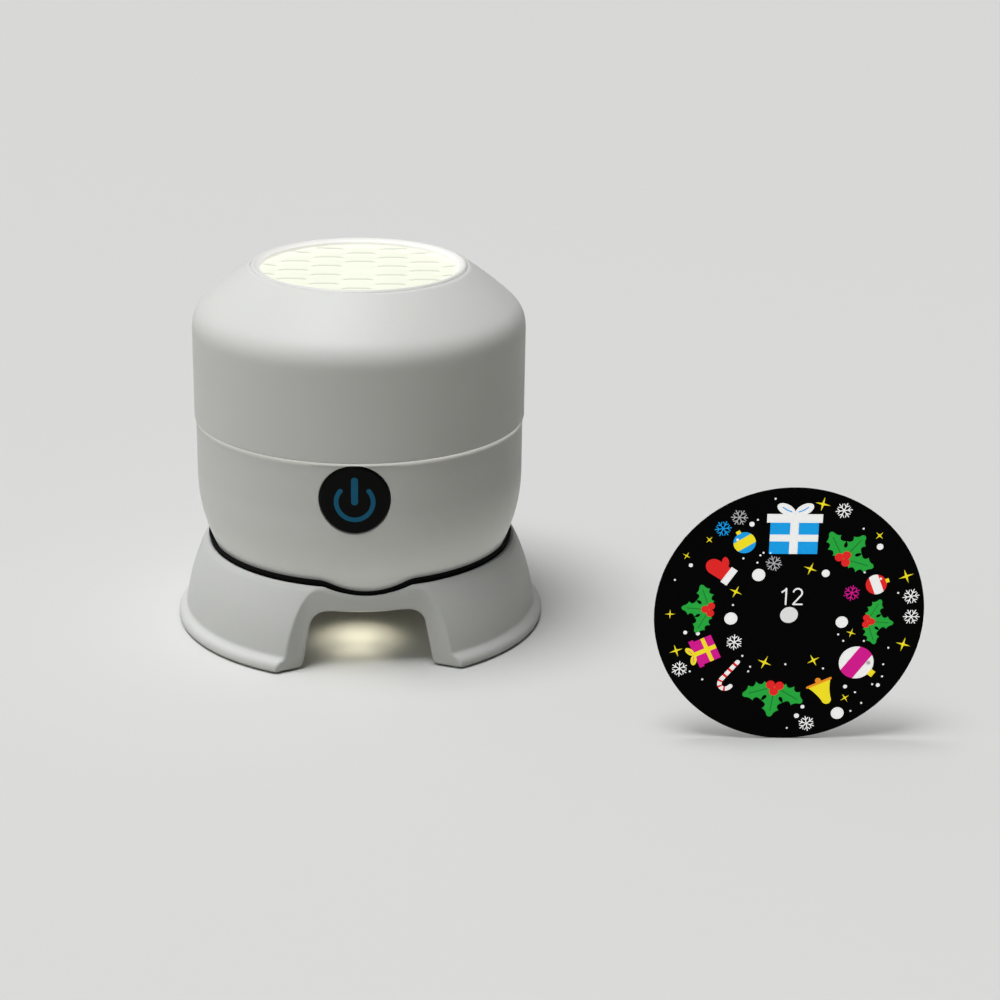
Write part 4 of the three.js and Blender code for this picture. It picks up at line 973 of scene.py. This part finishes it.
pad = {"width": 4, "inset": 1.8, "arch": 27, "soft": 0.3, "steps": 90}


# Foot pads: a rounded strip swept along each leg's foot, its ends closed by drawn-in sections
def makePad(side):
    outer = footRadius - pad["inset"]
    top = boxOf("foot_pad_left")[1][2]
    section = softLine([[-pad["width"] / 2, 0, pad["soft"]], [pad["width"] / 2, 0, pad["soft"]],
                        [pad["width"] / 2, top, pad["soft"]], [-pad["width"] / 2, top, pad["soft"]]], True, 3)
    middle = outer - pad["width"] / 2
    start = math.asin(pad["arch"] / middle)
    turns = np.linspace(start, math.pi - start, pad["steps"])
    size = np.ones(pad["steps"])
    size[[0, -1]] = 0
    turns[[0, -1]] = turns[[1, -2]]
    radius = middle + np.outer(size, section[:, 0])
    z = top / 2 + np.outer(size, section[:, 1] - top / 2)
    x, y = side * radius * np.sin(turns)[:, None], -radius * np.cos(turns)[:, None]
    points = onStand(np.stack([x, y, z], -1))
    return makeMesh("footPad", points, gridFaces(points.shape[0], points.shape[1], False, True))


addPiece("footPadLeft", makePad(-1), rubberFinish, "stand", "black_rubber", "foot_pad_left")
addPiece("footPadRight", makePad(1), rubberFinish, "stand", "black_rubber", "foot_pad_right")
print("stand made")


# Base light and the parts under the cover

windowLow, windowHigh = boxOf("bottom_window")
window = {"flangeReach": 2.6, "flange": 1.2, "spotOut": 20, "spotSize": (8, 4.5)}


# Bottom window: a flat disc with a flange above it, turned about the lamp's axis; its glow falls
# off as a bell curve round a spot near the front
def makeWindow():
    radius = windowHigh[0] - lampAxis[0]
    inner, low, high = radius - window["flangeReach"], windowLow[2], windowHigh[2]
    face = [[r, low, 0] for r in np.linspace(0, inner - 1, 24)]
    corners = [*face, [inner, low, 0.3], [inner, high - window["flange"], 0],
               [radius, high - window["flange"], 0.15], [radius, high, 0.15], [0, high, 0]]
    points, faces = turned(softLine(corners, False, 4), steps=128, closedLine=False)
    away = (points[..., :2] - lampAxis + [0, window["spotOut"]]) / window["spotSize"]
    near = np.exp(-(away**2).sum(-1))
    return makeMesh("bottomWindow", points, faces, marks={"glowDim": 1 - near.ravel()})


addPiece("bottomWindow", makeWindow(), windowFinish, "lamp", "glowing_lens", "bottom_window")

beams = [{"out": 22.5, "tilt": 6, "cone": 112, "blend": 0.5, "power": 0.0075},
         {"out": 20.5, "tilt": 63, "cone": 68, "blend": 1, "power": 0.011}]


# The beams of the base light: spots just under the window, which turn with the lamp
def makeBeam(name, beam):
    light = bpy.data.lights.new(name, "SPOT")
    light.energy, light.color, light.shadow_soft_size = beam["power"], (1, 0.94, 0.72), 2 * mm
    light.spot_size, light.spot_blend = math.radians(beam["cone"]), beam["blend"]
    spot = bpy.data.objects.new(name, light)
    spot.location = Vector((lampAxis[0], lampAxis[1] - beam["out"], windowLow[2] - 0.6)) * mm
    spot.rotation_euler = (math.radians(-beam["tilt"]), 0, 0)
    bpy.context.scene.collection.objects.link(spot)
    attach(spot, "lamp")


makeBeam("baseBeamDown", beams[0])
makeBeam("baseBeamAhead", beams[1])

reflector = {"wall": 1, "bore": 7, "slope": 7.6, "ledHole": 3.8}


# Reflector: a dish of even wall, flat in the middle and sloping up to its rim, with a round hole
# cut for each LED
def makeReflector():
    low, high = boxOf("reflector")
    radius = high[0] - lampAxis[0]
    flat = radius - reflector["slope"]
    ledPlaces = [middleOf(f"led_{k + 1}")[:2] for k in range(6)]
    bore, wall, base, rim = reflector["bore"], reflector["wall"], low[2], high[2]
    corners = [[bore, base, 0.15], [flat, base, 1.2], [radius, rim - wall, 0.2], [radius, rim, 0.2],
               [radius - wall, rim, 0.2], [flat - wall / 2, base + wall, 1.2], [bore, base + wall, 0.15]]
    points, faces = turned(softLine(corners), steps=160)
    dish = addPiece("reflectorDish", makeMesh("reflectorDish", points, faces), innerFinish, "lamp",
                    "inner_white", "reflector")
    hole, below, above = reflector["ledHole"], base - 2, base + 3
    cutters = [turned([[0, below], [hole, below], [hole, above], [0, above]], place, 36, False)
               for place in ledPlaces]
    cutter = bpy.data.objects.new("ledHoles", makeMesh("ledHoles", *joined(cutters)))
    bpy.context.scene.collection.objects.link(cutter)
    cut = dish.modifiers.new("ledHoles", "BOOLEAN")
    cut.object, cut.operation, cut.solver = cutter, "DIFFERENCE", "EXACT"
    graph = bpy.context.evaluated_depsgraph_get()
    finished = bpy.data.meshes.new_from_object(dish.evaluated_get(graph))
    dish.modifiers.clear()
    dish.data = finished
    bpy.data.objects.remove(cutter)


makeReflector()

led = {"size": 5, "base": 1.2, "dome": 2.1, "turns": 48}


# An LED: a square of four soft corners that rises to a step, then a half-round dome
def ledShape(place, low, direction, turn):
    angle = np.arange(led["turns"]) / led["turns"] * 2 * np.pi
    square = led["size"] / 2 / np.maximum(abs(np.cos(angle)), abs(np.sin(angle)))
    square = np.minimum(square, led["size"] / 2 * 1.28)
    rows = [(0 * square, 0), (square, 0), (square, led["base"] - 0.15), (square - 0.15, led["base"]),
            (np.full_like(square, led["dome"]), led["base"])]
    rows += [(np.full_like(square, led["dome"] * math.cos(a)), led["base"] + led["dome"] * 0.95 * math.sin(a))
             for a in np.linspace(0.1, math.pi / 2, 7)]
    rings = [np.stack([place[0] + r * np.cos(angle + turn), place[1] + r * np.sin(angle + turn),
                       np.full_like(r, low + direction * z)], -1) for r, z in rows]
    rings = np.stack(rings)
    return rings, gridFaces(rings.shape[0], rings.shape[1], False, True)


# One LED from its base's height, which way it faces and its turn
def addLed(name, node, low, direction, turn):
    points, faces = ledShape(middleOf(node)[:2], low, direction, turn)
    mesh = makeMesh(node, points, faces, marks={"glowDim": np.zeros(points[..., 0].size)})
    addPiece(name, mesh, ledFinish, "lamp", "led_yellow", node)


for k in range(1, 7):
    addLed(f"topLed{k}", f"led_{k}", boxOf(f"led_{k}")[0][2], 1, math.radians(60 * (k - 1)))
for k in range(1, 5):
    addLed(f"baseLed{k}", f"base_led_{k}", boxOf(f"base_led_{k}")[1][2], -1, 0)

turntable = {"hub": 4.5, "collar": 9, "plate": 1.6, "lip": 1.2, "bore": 2.3, "hubDepth": 6}


# Turntable: a plate with a raised lip at its rim and a hub that flares into it, turned round
def makeTurntable():
    low, high = boxOf("turntable")
    rim = high[0] - lampAxis[0]
    plateBase = low[2] + turntable["hubDepth"]
    top = plateBase + turntable["plate"]
    bore, hub, lipInner = turntable["bore"], turntable["hub"], rim - turntable["lip"]
    corners = [[bore, low[2], 0.2], [hub, low[2], 0.4], [hub, plateBase - turntable["plate"], 1.5],
               [turntable["collar"], plateBase, 1.5], [rim, plateBase, 0.4], [rim, high[2], 0.4],
               [lipInner, high[2], 0.3], [lipInner, top, 0.2], [bore, top, 0.2]]
    points, faces = turned(softLine(corners), steps=180)
    return makeMesh("turntablePlate", points, faces)


addPiece("turntablePlate", makeTurntable(), clearPlastic, "disc_carrier", "clear_plastic", "turntable")

hubCap = {"bore": 2.35, "wall": 0.9, "turns": 72, "ribs": 18, "ribDepth": 0.03}


# Hub cap: a cup turned about the axis, its side pulled in between the grip ribs by a cosine
def makeCap():
    low, high = boxOf("hub_cap")
    radius, bore, roof = (high[0] - low[0]) / 2, hubCap["bore"], high[2] - hubCap["wall"]
    corners = [[bore, low[2], 0.15], [radius, low[2], 0.3], [radius, high[2], 1.1], [0, high[2], 0],
               [0, roof, 0], [bore, roof, 0.2]]
    line = softLine(corners, False, 7)
    line = np.concatenate([line, line[:1]])
    points, faces = turned(line, steps=hubCap["turns"], closedLine=False)
    turns = np.arange(hubCap["turns"]) / hubCap["turns"] * 2 * np.pi
    grip = 1 + hubCap["ribDepth"] * np.cos(hubCap["ribs"] * turns)
    inside = (points[..., 2] > low[2] + 0.4) & (points[..., 2] < high[2] - 0.6)
    out = np.linalg.norm(points[..., :2] - lampAxis, axis=-1) > radius - 0.3
    scale = np.where(inside & out, grip[:, None], 1)[..., None]
    points[..., :2] = lampAxis + (points[..., :2] - lampAxis) * np.minimum(scale, 1)
    return makeMesh("hubCap", points, faces)


addPiece("hubCap", makeCap(), innerFinish, "disc_carrier", "inner_white", "hub_cap")
print("inner parts made")


# Picture discs: a thin black disc with a printed ring of winter motifs round a number

disc = {"bore": 2.45, "thickness": 0.69, "soft": 0.15, "ink": 0.02, "layer": 0.006, "bandMiddle": 0.66,
        "bandHalf": 0.27, "digitTall": 4.6, "digitStep": 3.2, "digitWidth": 0.45, "digitBase": 3.3,
        "digitShift": 0.6, "seed": 12, "apart": 0.5, "tries": 400}
inks = {"green": (0.02, 0.4, 0.05, 1), "darkGreen": (0.01, 0.2, 0.03, 1), "blue": (0.01, 0.36, 0.85, 1),
        "white": (0.95, 0.95, 0.95, 1), "yellow": (0.95, 0.8, 0.02, 1), "red": (0.8, 0.02, 0.02, 1),
        "magenta": (0.68, 0.01, 0.28, 1), "orange": (0.9, 0.3, 0.02, 1), "grey": (0.45, 0.45, 0.47, 1)}


# A shape of ink is points and faces in the plane; an outline makes one face
def outlined(points):
    return np.asarray(points, float), [list(range(len(points)))]


# A stroke is a row of faces along a path, half its width to each side, with a half circle
# at each free end
def stroke(path, width, ends=5):
    path = np.asarray(path, float)
    closed = np.allclose(path[0], path[-1])
    path = path[:-1] if closed else path
    along = np.roll(path, -1, 0) - np.roll(path, 1, 0) if closed else np.gradient(path, axis=0)
    along /= np.linalg.norm(along, axis=1)[:, None]
    side = np.stack([-along[:, 1], along[:, 0]], 1)
    points, count = np.concatenate([path + side * width / 2, path - side * width / 2]), len(path)
    here = np.arange(count if closed else count - 1)
    after = (here + 1) % count
    faces = np.stack([here, here + count, after + count, after], 1).tolist()
    if ends and not closed:
        angle = np.linspace(0, np.pi, ends + 2)[1:-1, None]
        for k, way in ((0, -1), (count - 1, 1)):
            faces.append([k, *range(len(points), len(points) + ends), k + count])
            arc = path[k] + width / 2 * (np.cos(angle) * side[k] + way * np.sin(angle) * along[k])
            points = np.concatenate([points, arc])
    return points, faces


# Shapes as thin closed slabs: each is printed one layer above the last; lay puts (x, y, lift)
# in space
def inkSlabs(shapes, lay):
    points, faces, colours, start = [], [], [], 0
    for (flat, flatFaces), colour, layer in shapes:
        count = len(flat)
        lift = np.full((count, 1), disc["ink"] + disc["layer"] * layer)
        points += [lay(np.concatenate([flat, 0 * lift], 1)), lay(np.concatenate([flat, lift], 1))]
        faces += [[start + k for k in face[::-1]] for face in flatFaces]
        faces += [[start + count + k for k in face] for face in flatFaces]
        edges = [(a, b) for face in flatFaces for a, b in zip(face, face[1:] + face[:1])]
        keys = [(min(edge), max(edge)) for edge in edges]
        faces += [[start + a, start + b, start + count + b, start + count + a]
                  for (a, b), key in zip(edges, keys) if keys.count(key) == 1]
        colours.append(np.tile(inks[colour], (2 * count, 1)))
        start += 2 * count
    return np.concatenate(points), faces, np.concatenate(colours)


def circleAt(x, y, radius, count=28, tall=1):  # a round of points, tall times as high as wide
    angle = np.arange(count) / count * 2 * np.pi
    return np.stack([x + radius * np.cos(angle), y + tall * radius * np.sin(angle)], 1)


def turnedBy(points, turn):  # points of the plane turned by degrees about its origin
    c, t = math.cos(math.radians(turn)), math.sin(math.radians(turn))
    return np.asarray(points, float) @ np.array([[c, t], [-t, c]])


# A four-point star: the radius swings between two values
def starMotif():
    angle = np.arange(8) / 8 * 2 * np.pi + math.pi / 2
    radius = np.where(np.arange(8) % 2 == 0, 1, 0.2)
    return [(outlined(np.stack([radius * np.cos(angle), radius * np.sin(angle)], 1)), "yellow")]


def dotMotif():  # a snowflake far off: a white dot
    return [(outlined(circleAt(0, 0, 1, 22)), "white")]


# A holly leaf along +Y: its half width is a sine with scalloped points along the edge
def leafOutline(length, width):
    s = np.linspace(0, 1, 33)
    half = width / 2 * np.sin(np.pi * s) ** 0.6 * (1 - 0.38 * np.abs(np.sin(s * np.pi * 4)) ** 0.8)
    return np.concatenate([np.stack([half, s * length], 1), np.stack([-half, s * length], 1)[::-1][1:-1]])


# Holly: three leaves that fan from one point, each with a vein, and three berries over it
def hollyMotif():
    shapes = []
    for turn in (-66, 66, 0):
        leaf, vein = leafOutline(1.25, 0.78), [[0, 0.3], [0, 0.6], [0, 1]]
        shapes.append((outlined(turnedBy(leaf, turn) + [0, -0.4]), "green"))
        shapes.append((stroke(turnedBy(vein, turn) + [0, -0.4], 0.04), "darkGreen"))
    for x, y in ((-0.17, -0.45), (0.17, -0.45), (0, -0.2)):
        shapes.append((outlined(circleAt(x, y, 0.17, 20)), "red"))
    return shapes


# A gift: a box and its lid, a ribbon each way, and a bow of two tilted ovals
def giftMotif(colour, ribbon):
    square = [[-0.8, -0.8], [0.8, -0.8], [0.8, 0.32], [-0.8, 0.32]]
    lid = [[-0.92, 0.3], [0.92, 0.3], [0.92, 0.6], [-0.92, 0.6]]
    upright = [[-0.14, -0.8], [0.14, -0.8], [0.14, 0.6], [-0.14, 0.6]]
    across = [[-0.8, -0.36], [0.8, -0.36], [0.8, -0.12], [-0.8, -0.12]]
    shapes = [(outlined(square), colour), (outlined(lid), colour if ribbon != "white" else "white"),
              (outlined(upright), ribbon), (outlined(across), ribbon)]
    for side in (-1, 1):
        bow = turnedBy(circleAt(0, 0, 0.33, 24, 0.55), 28 * side) + [side * 0.3, 0.76]
        shapes.append((outlined(bow), ribbon))
        shapes.append((stroke([[side * 0.12, 0.68], [side * 0.27, 0.74], [side * 0.42, 0.84]], 0.04), colour))
    return shapes


# A bauble: a ball with a stripe between two equal arcs, a neck and a round glint
def baubleMotif(colour, stripe):
    angle = np.linspace(math.radians(-26), math.radians(26), 9)
    arc = np.stack([0.8 * np.cos(angle), 0.8 * np.sin(angle) - 0.1], 1)
    neck = [[-0.16, 0.66], [0.16, 0.66], [0.16, 0.92], [-0.16, 0.92]]
    glint = "white" if colour != "white" else "grey"
    return [(outlined(circleAt(0, -0.1, 0.8, 36)), colour),
            (outlined(np.concatenate([arc, -arc - [0, 0.2]])), stripe), (outlined(neck), "yellow"),
            (outlined(circleAt(-0.32, 0.36, 0.1, 12)), glint)]


# A cane: a straight shaft and a half-turn hook, its stripes cut square to the path
def caneMotif():
    angle = np.linspace(0, np.pi, 22)
    shaft = np.stack([np.full(20, 0.32), np.linspace(-1, 0.45, 20)], 1)
    path = np.concatenate([shaft[:-1], np.stack([0.36 * np.cos(angle) - 0.04, 0.45 + 0.42 * np.sin(angle)], 1)])
    shapes = [(stroke(path, 0.27), "white")]
    return shapes + [(stroke(path[k:k + 3], 0.28, 0), "red") for k in range(2, len(path) - 4, 6)]


# A bell: each side's distance grows with a power of the way down, with a small sine swell
def bellMotif():
    s = np.linspace(0, 1, 16)
    side = np.stack([0.26 + 0.5 * s**2.2 + 0.06 * np.sin(s * np.pi), 0.7 - 1.25 * s], 1)
    return [(outlined(circleAt(0, -0.66, 0.17, 16)), "orange"),
            (outlined(circleAt(0, 0.66, 0.27, 20)), "yellow"),
            (outlined(np.concatenate([side, side[::-1] * [-1, 1]])), "yellow"),
            (stroke([[-0.72, -0.5], [0, -0.5], [0.72, -0.5]], 0.14), "orange")]


# A mitten: the upper half of an oval over a straight hand, a tilted oval thumb and a cuff
def mittenMotif(colour):
    hand = np.concatenate([circleAt(0, 0.3, 0.46, 30, 1.15)[0:16], [[-0.44, -0.5], [0.44, -0.5]]])
    thumb = turnedBy(circleAt(0, 0, 0.34, 18, 0.6), 40) + [0.55, -0.05]
    cuff = [[-0.54, -0.92], [0.54, -0.92], [0.54, -0.5], [-0.54, -0.5]]
    return [(outlined(thumb), colour), (outlined(hand), colour), (outlined(cuff), "white")]


# A snow crystal: three bars across and a pair of twigs on each of its six arms
def crystalMotif(colour):
    shapes = [(stroke(turnedBy([[-1, 0], [0, 0], [1, 0]], turn), 0.12), colour) for turn in (30, 90, 150)]
    for turn in range(30, 390, 60):
        for side in (-1, 1):
            twig = turnedBy([[0.5, 0], [0.65, 0.17 * side], [0.8, 0.34 * side]], turn)
            shapes.append((stroke(twig, 0.1), colour))
    return shapes


# Strokes of the numbers on a grid one unit tall
def digitPaths(digit):
    angle = np.linspace(math.radians(165), math.radians(-35), 16)
    ring = np.linspace(0, 2 * np.pi, 25)
    hook = np.stack([0.3 + 0.26 * np.cos(angle), 0.73 + 0.27 * np.sin(angle)], 1)
    paths = {
        "1": [[[0.06, 0.78], [0.18, 0.86], [0.3, 0.98]], [[0.31, 1], [0.31, 0.5], [0.31, 0]]],
        "2": [np.concatenate([hook, [[0.06, 0.02]]]), [[0.06, 0], [0.3, 0], [0.58, 0]]],
        "8": [np.stack([0.3 + 0.23 * np.sin(ring), 0.77 + 0.23 * np.cos(ring)], 1),
              np.stack([0.3 + 0.27 * np.sin(ring), 0.27 + 0.27 * np.cos(ring)], 1)]}
    return paths[digit]


large = [(giftMotif("blue", "white"), 8.2, 0.52), (hollyMotif(), 7, 0.5),
         (baubleMotif("red", "white"), 3.6, 0.6), (hollyMotif(), 5.8, 0.45),
         (baubleMotif("white", "magenta"), 6, 0.5), (bellMotif(), 4.8, 0.52),
         (hollyMotif(), 7.4, 0.5), (caneMotif(), 4.6, 0.45), (giftMotif("magenta", "yellow"), 4.6, 0.6),
         (hollyMotif(), 6.2, 0.5), (mittenMotif("red"), 4.8, 0.45), (baubleMotif("blue", "yellow"), 3.8, 0.6)]
crystalColours = ("white", "magenta", "white", "blue", "white", "white", "grey", "white", "white", "grey")
small = ([(crystalMotif(colour), 2.2) for colour in crystalColours]
         + [(starMotif(), size) for size in (2.1, 1.9, 1.4) * 4 + (1.2, 1.2)]
         + [(dotMotif(), size) for size in (1.8, 1.8, 1.8, 1.7, 1.1, 0.9, 0.7, 0.7)]
         + [(dotMotif(), size) for size in (0.55,) * 6 + (0.28,) * 30])


# The large motifs follow each other round the band with even gaps; the small ones are thrown
# at seeded places and stay where nothing else lies
def layoutOf(radius, start):
    middle, half = disc["bandMiddle"] * radius, disc["bandHalf"] * radius
    gap = (2 * np.pi * middle - 2 * sum(size for _, size, _ in large)) / len(large)
    placed, turn = [], math.radians(start)
    for k, (shapes, size, out) in enumerate(large):
        turn += (size + large[k - 1][1] + gap) / middle if k else 0
        placed.append((shapes, size, turn, middle + (out - 0.5) * half))
    spots = [(away * math.sin(a), away * math.cos(a), size * 0.92) for _, size, a, away in placed]
    chance = np.random.default_rng(disc["seed"] + round(start))
    for shapes, size in small:
        for _ in range(disc["tries"]):
            a, away = chance.uniform(0, 2 * np.pi), middle + half * chance.uniform(-1, 1.02)
            x, y = away * math.sin(a), away * math.cos(a)
            if all(math.hypot(x - u, y - v) > size + reach + disc["apart"] for u, v, reach in spots):
                placed.append((shapes, size, a, away))
                spots.append((x, y, size))
                break
    return placed


# The whole print in the disc's plane, its number over the hole
def discShapes(radius, number, start):
    shapes = []
    for motif, size, turn, away in layoutOf(radius, start):
        middle = away * np.array([math.sin(turn), math.cos(turn)])
        for layer, ((points, faces), colour) in enumerate(motif):
            shapes.append(((turnedBy(points * size, -math.degrees(turn)) + middle, faces), colour, layer))
    for k, digit in enumerate(number):
        left = (k - len(number) / 2) * disc["digitStep"] + disc["digitShift"]
        for layer, path in enumerate(digitPaths(digit)):
            path = np.asarray(path) * disc["digitTall"] + [left, disc["digitBase"]]
            shapes.append((stroke(path, disc["digitWidth"]), "white", layer))
    return shapes


# A disc with a bore, its four edges softened, turned in its own plane and then laid in place
def makeDisc(name, radius, thickness, lay):
    corners = [[disc["bore"], 0, disc["soft"]], [radius, 0, disc["soft"]], [radius, thickness, disc["soft"]],
               [disc["bore"], thickness, disc["soft"]]]
    points, faces = turned(softLine(corners, True, 3, 0.3), np.zeros(2), 256)
    return makeMesh(name, lay(points), faces)


# A disc and its print, the layout's first motif turned by start degrees
def addDisc(name, node, body, lay, number, start):
    low, high = boxOf(node)
    radius = (high[0] - low[0]) / 2
    addPiece(name, makeDisc(name, radius, disc["thickness"], lay), filmFinish, body, "film_black", node)
    shapes, top = discShapes(radius, number, start), [0, 0, disc["thickness"]]
    points, faces, colours = inkSlabs(shapes, lambda p: lay(p + top))
    mesh = makeMesh(name + "Print", points, faces, marks={"ink": colours})
    addPiece(name + "Print", mesh, discInk, body, "film_black")


spareLow, spareHigh = boxOf("spare_disc")
fittedLow, fittedHigh = boxOf("fitted_disc")
spareMiddle = (spareLow + spareHigh) / 2


def laySpare(p):  # the disc's plane stands upright and its printed side faces the front
    return np.stack([spareMiddle[0] + p[..., 0], spareHigh[1] - p[..., 2], spareMiddle[2] + p[..., 1]], -1)


def layFitted(p):  # the disc lies level on the turntable
    return np.stack([lampAxis[0] + p[..., 0], lampAxis[1] + p[..., 1], fittedLow[2] + p[..., 2]], -1)


addDisc("spareDisc", "spare_disc", "stand", laySpare, "12", 0)
addDisc("fittedDisc", "fitted_disc", "disc_carrier", layFitted, "8", 150)
print("discs made")


# The CAD nodes that stay get their finish here

kept = [
    (innerFinish, ["glow_ring", "battery_tray", "deck", "board_post_1", "board_post_2", "board_post_3"]),
    (boardWhiteFinish, ["base_light_board", "led_board"]),
    (boardGreenFinish, ["main_board", "switch_board"]),
    (steelFinish, ["deck_screw_1", "deck_screw_2", "deck_screw_3", "deck_screw_4", "usb_socket", "motor",
                   "motor_screw_1", "motor_screw_2", "motor_shaft", "idler_axle", "spindle", "switch_bracket"]),
    (brassFinish, ["spindle_bush", "motor_pinion"]),
    (gearFinish, ["reduction_gear", "hub_gear"]),
    (batteryFinish, ["battery"]),
    (chipFinish, ["control_chip", "tact_switch"]),
    (buttonFinish, ["switch_plunger"]),
]
for finish, nodes in kept:
    for node in nodes:
        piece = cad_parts[node]
        piece.data.materials.clear()
        piece.data.materials.append(finish)
print("kept nodes finished")


# Floor, light and camera

stage = {"floorSize": 12000, "floorSeen": (0.75, 0.755, 0.745), "floorBounce": (0.43, 0.43, 0.39),
         "keyTurn": -64, "keyHeight": 77, "keyStrength": 2.45, "keyAngle": 34, "skyLow": 0, "skyTop": 0.12,
         "skyLeft": 0.3, "leftWay": (-0.95, 0.1, 0.3)}


# Floor: a square with one colour for the camera and for reflections, and a darker one for the
# light that it sends back, which keeps the undersides as dark as in the photograph
def makeFloor():
    half = stage["floorSize"] / 2
    points = np.array([[-half, -half, 0], [half, -half, 0], [half, half, 0], [-half, half, 0]])
    mesh = makeMesh("floor", points, [[0, 1, 2, 3]], outward=False)
    finish, shader, add, join = newFinish("floor", {"Roughness": 0.8, "Specular IOR Level": 0.2})
    ray = add("ShaderNodeLightPath")
    seen = add("ShaderNodeMath", operation="MAXIMUM")
    join(ray, "Is Camera Ray", seen, 0)
    join(ray, "Is Glossy Ray", seen, 1)
    mix = add("ShaderNodeMix", data_type="RGBA")
    mix.inputs[mixFirst].default_value = (*stage["floorBounce"], 1)
    mix.inputs[mixSecond].default_value = (*stage["floorSeen"], 1)
    join(seen, "Value", mix, "Factor")
    join(mix, mixResult, shader, "Base Color")
    piece = bpy.data.objects.new("floor", mesh)
    bpy.context.scene.collection.objects.link(piece)
    mesh.materials.append(finish)


# A distant lamp: turn is from the front towards the right, height above the floor
def addSun(name, turn, height, strength, angle):
    light = bpy.data.lights.new(name, "SUN")
    light.energy, light.angle = strength, math.radians(angle)
    lamp = bpy.data.objects.new(name, light)
    bpy.context.scene.collection.objects.link(lamp)
    t, h = math.radians(turn), math.radians(height)
    toward = Vector((math.sin(t) * math.cos(h), -math.cos(t) * math.cos(h), math.sin(h)))
    lamp.rotation_mode = "QUATERNION"
    lamp.rotation_quaternion = toward.to_track_quat("Z", "Y")


# The sky: dim at the horizon, brighter overhead and towards a soft light on the left
def makeSky():
    world = bpy.data.worlds.new("sky")
    bpy.context.scene.world = world
    world.use_nodes = True
    add, join = nodeTools(world.node_tree)
    place = add("ShaderNodeTexCoord")
    split = add("ShaderNodeSeparateXYZ")
    join(place, "Generated", split, "Vector")
    ramp = mixColour(add, join, split, "Z", [stage["skyLow"]] * 3, [stage["skyTop"]] * 3, 0, 1)
    toLeft = add("ShaderNodeVectorMath", operation="DOT_PRODUCT")
    toLeft.inputs[1].default_value = stage["leftWay"]
    join(place, "Generated", toLeft, 0)
    left = mapValue(add, join, toLeft, "Value", 0, stage["skyLeft"], 0, 1)
    both = add("ShaderNodeMix", data_type="RGBA", blend_type="ADD", Factor=1)
    join(ramp, "Color", both, mixFirst)
    join(left, "Result", both, mixSecond)
    join(both, mixResult, world.node_tree.nodes["Background"], "Color")


camera = {"focalPixels": 2375.2, "imageWidth": 1000, "pitch": 20.01, "turn": -1.65, "roll": 0.92,
          "basePixel": (362.77, 609.98), "distance": 745.7, "sensor": 36}


# The camera from the fit: the lamp's foot point lies at a known pixel and distance
def makeCamera():
    e, t, r = (math.radians(camera[k]) for k in ("pitch", "turn", "roll"))
    turn = Matrix.Rotation(t, 3, "Z")
    forward = turn @ Vector((0, math.cos(e), -math.sin(e)))
    up = turn @ Vector((0, math.sin(e), math.cos(e)))
    right = turn @ Vector((1, 0, 0))
    half = camera["imageWidth"] / 2
    side = (camera["basePixel"][0] - half) * camera["distance"] / camera["focalPixels"]
    rise = -(camera["basePixel"][1] - half) * camera["distance"] / camera["focalPixels"]
    foot = Vector((lampAxis[0], lampAxis[1], 0))
    place = foot - (right * side + up * rise + forward * camera["distance"])
    turnedRight = right * math.cos(r) + up * math.sin(r)
    turnedUp = up * math.cos(r) - right * math.sin(r)
    data = bpy.data.cameras.new("view")
    data.sensor_width = camera["sensor"]
    data.lens = camera["focalPixels"] * camera["sensor"] / camera["imageWidth"]
    data.clip_start, data.clip_end = 0.01, 50
    view = bpy.data.objects.new("view", data)
    bpy.context.scene.collection.objects.link(view)
    axes = Matrix((turnedRight, turnedUp, -forward)).transposed().to_4x4()
    view.matrix_world = Matrix.Translation(place * mm) @ axes
    bpy.context.scene.camera = view


makeFloor()
addSun("keyLight", stage["keyTurn"], stage["keyHeight"], stage["keyStrength"], stage["keyAngle"])
makeSky()
makeCamera()
bpy.context.scene.view_settings.view_transform = "Standard"
print("stage ready")
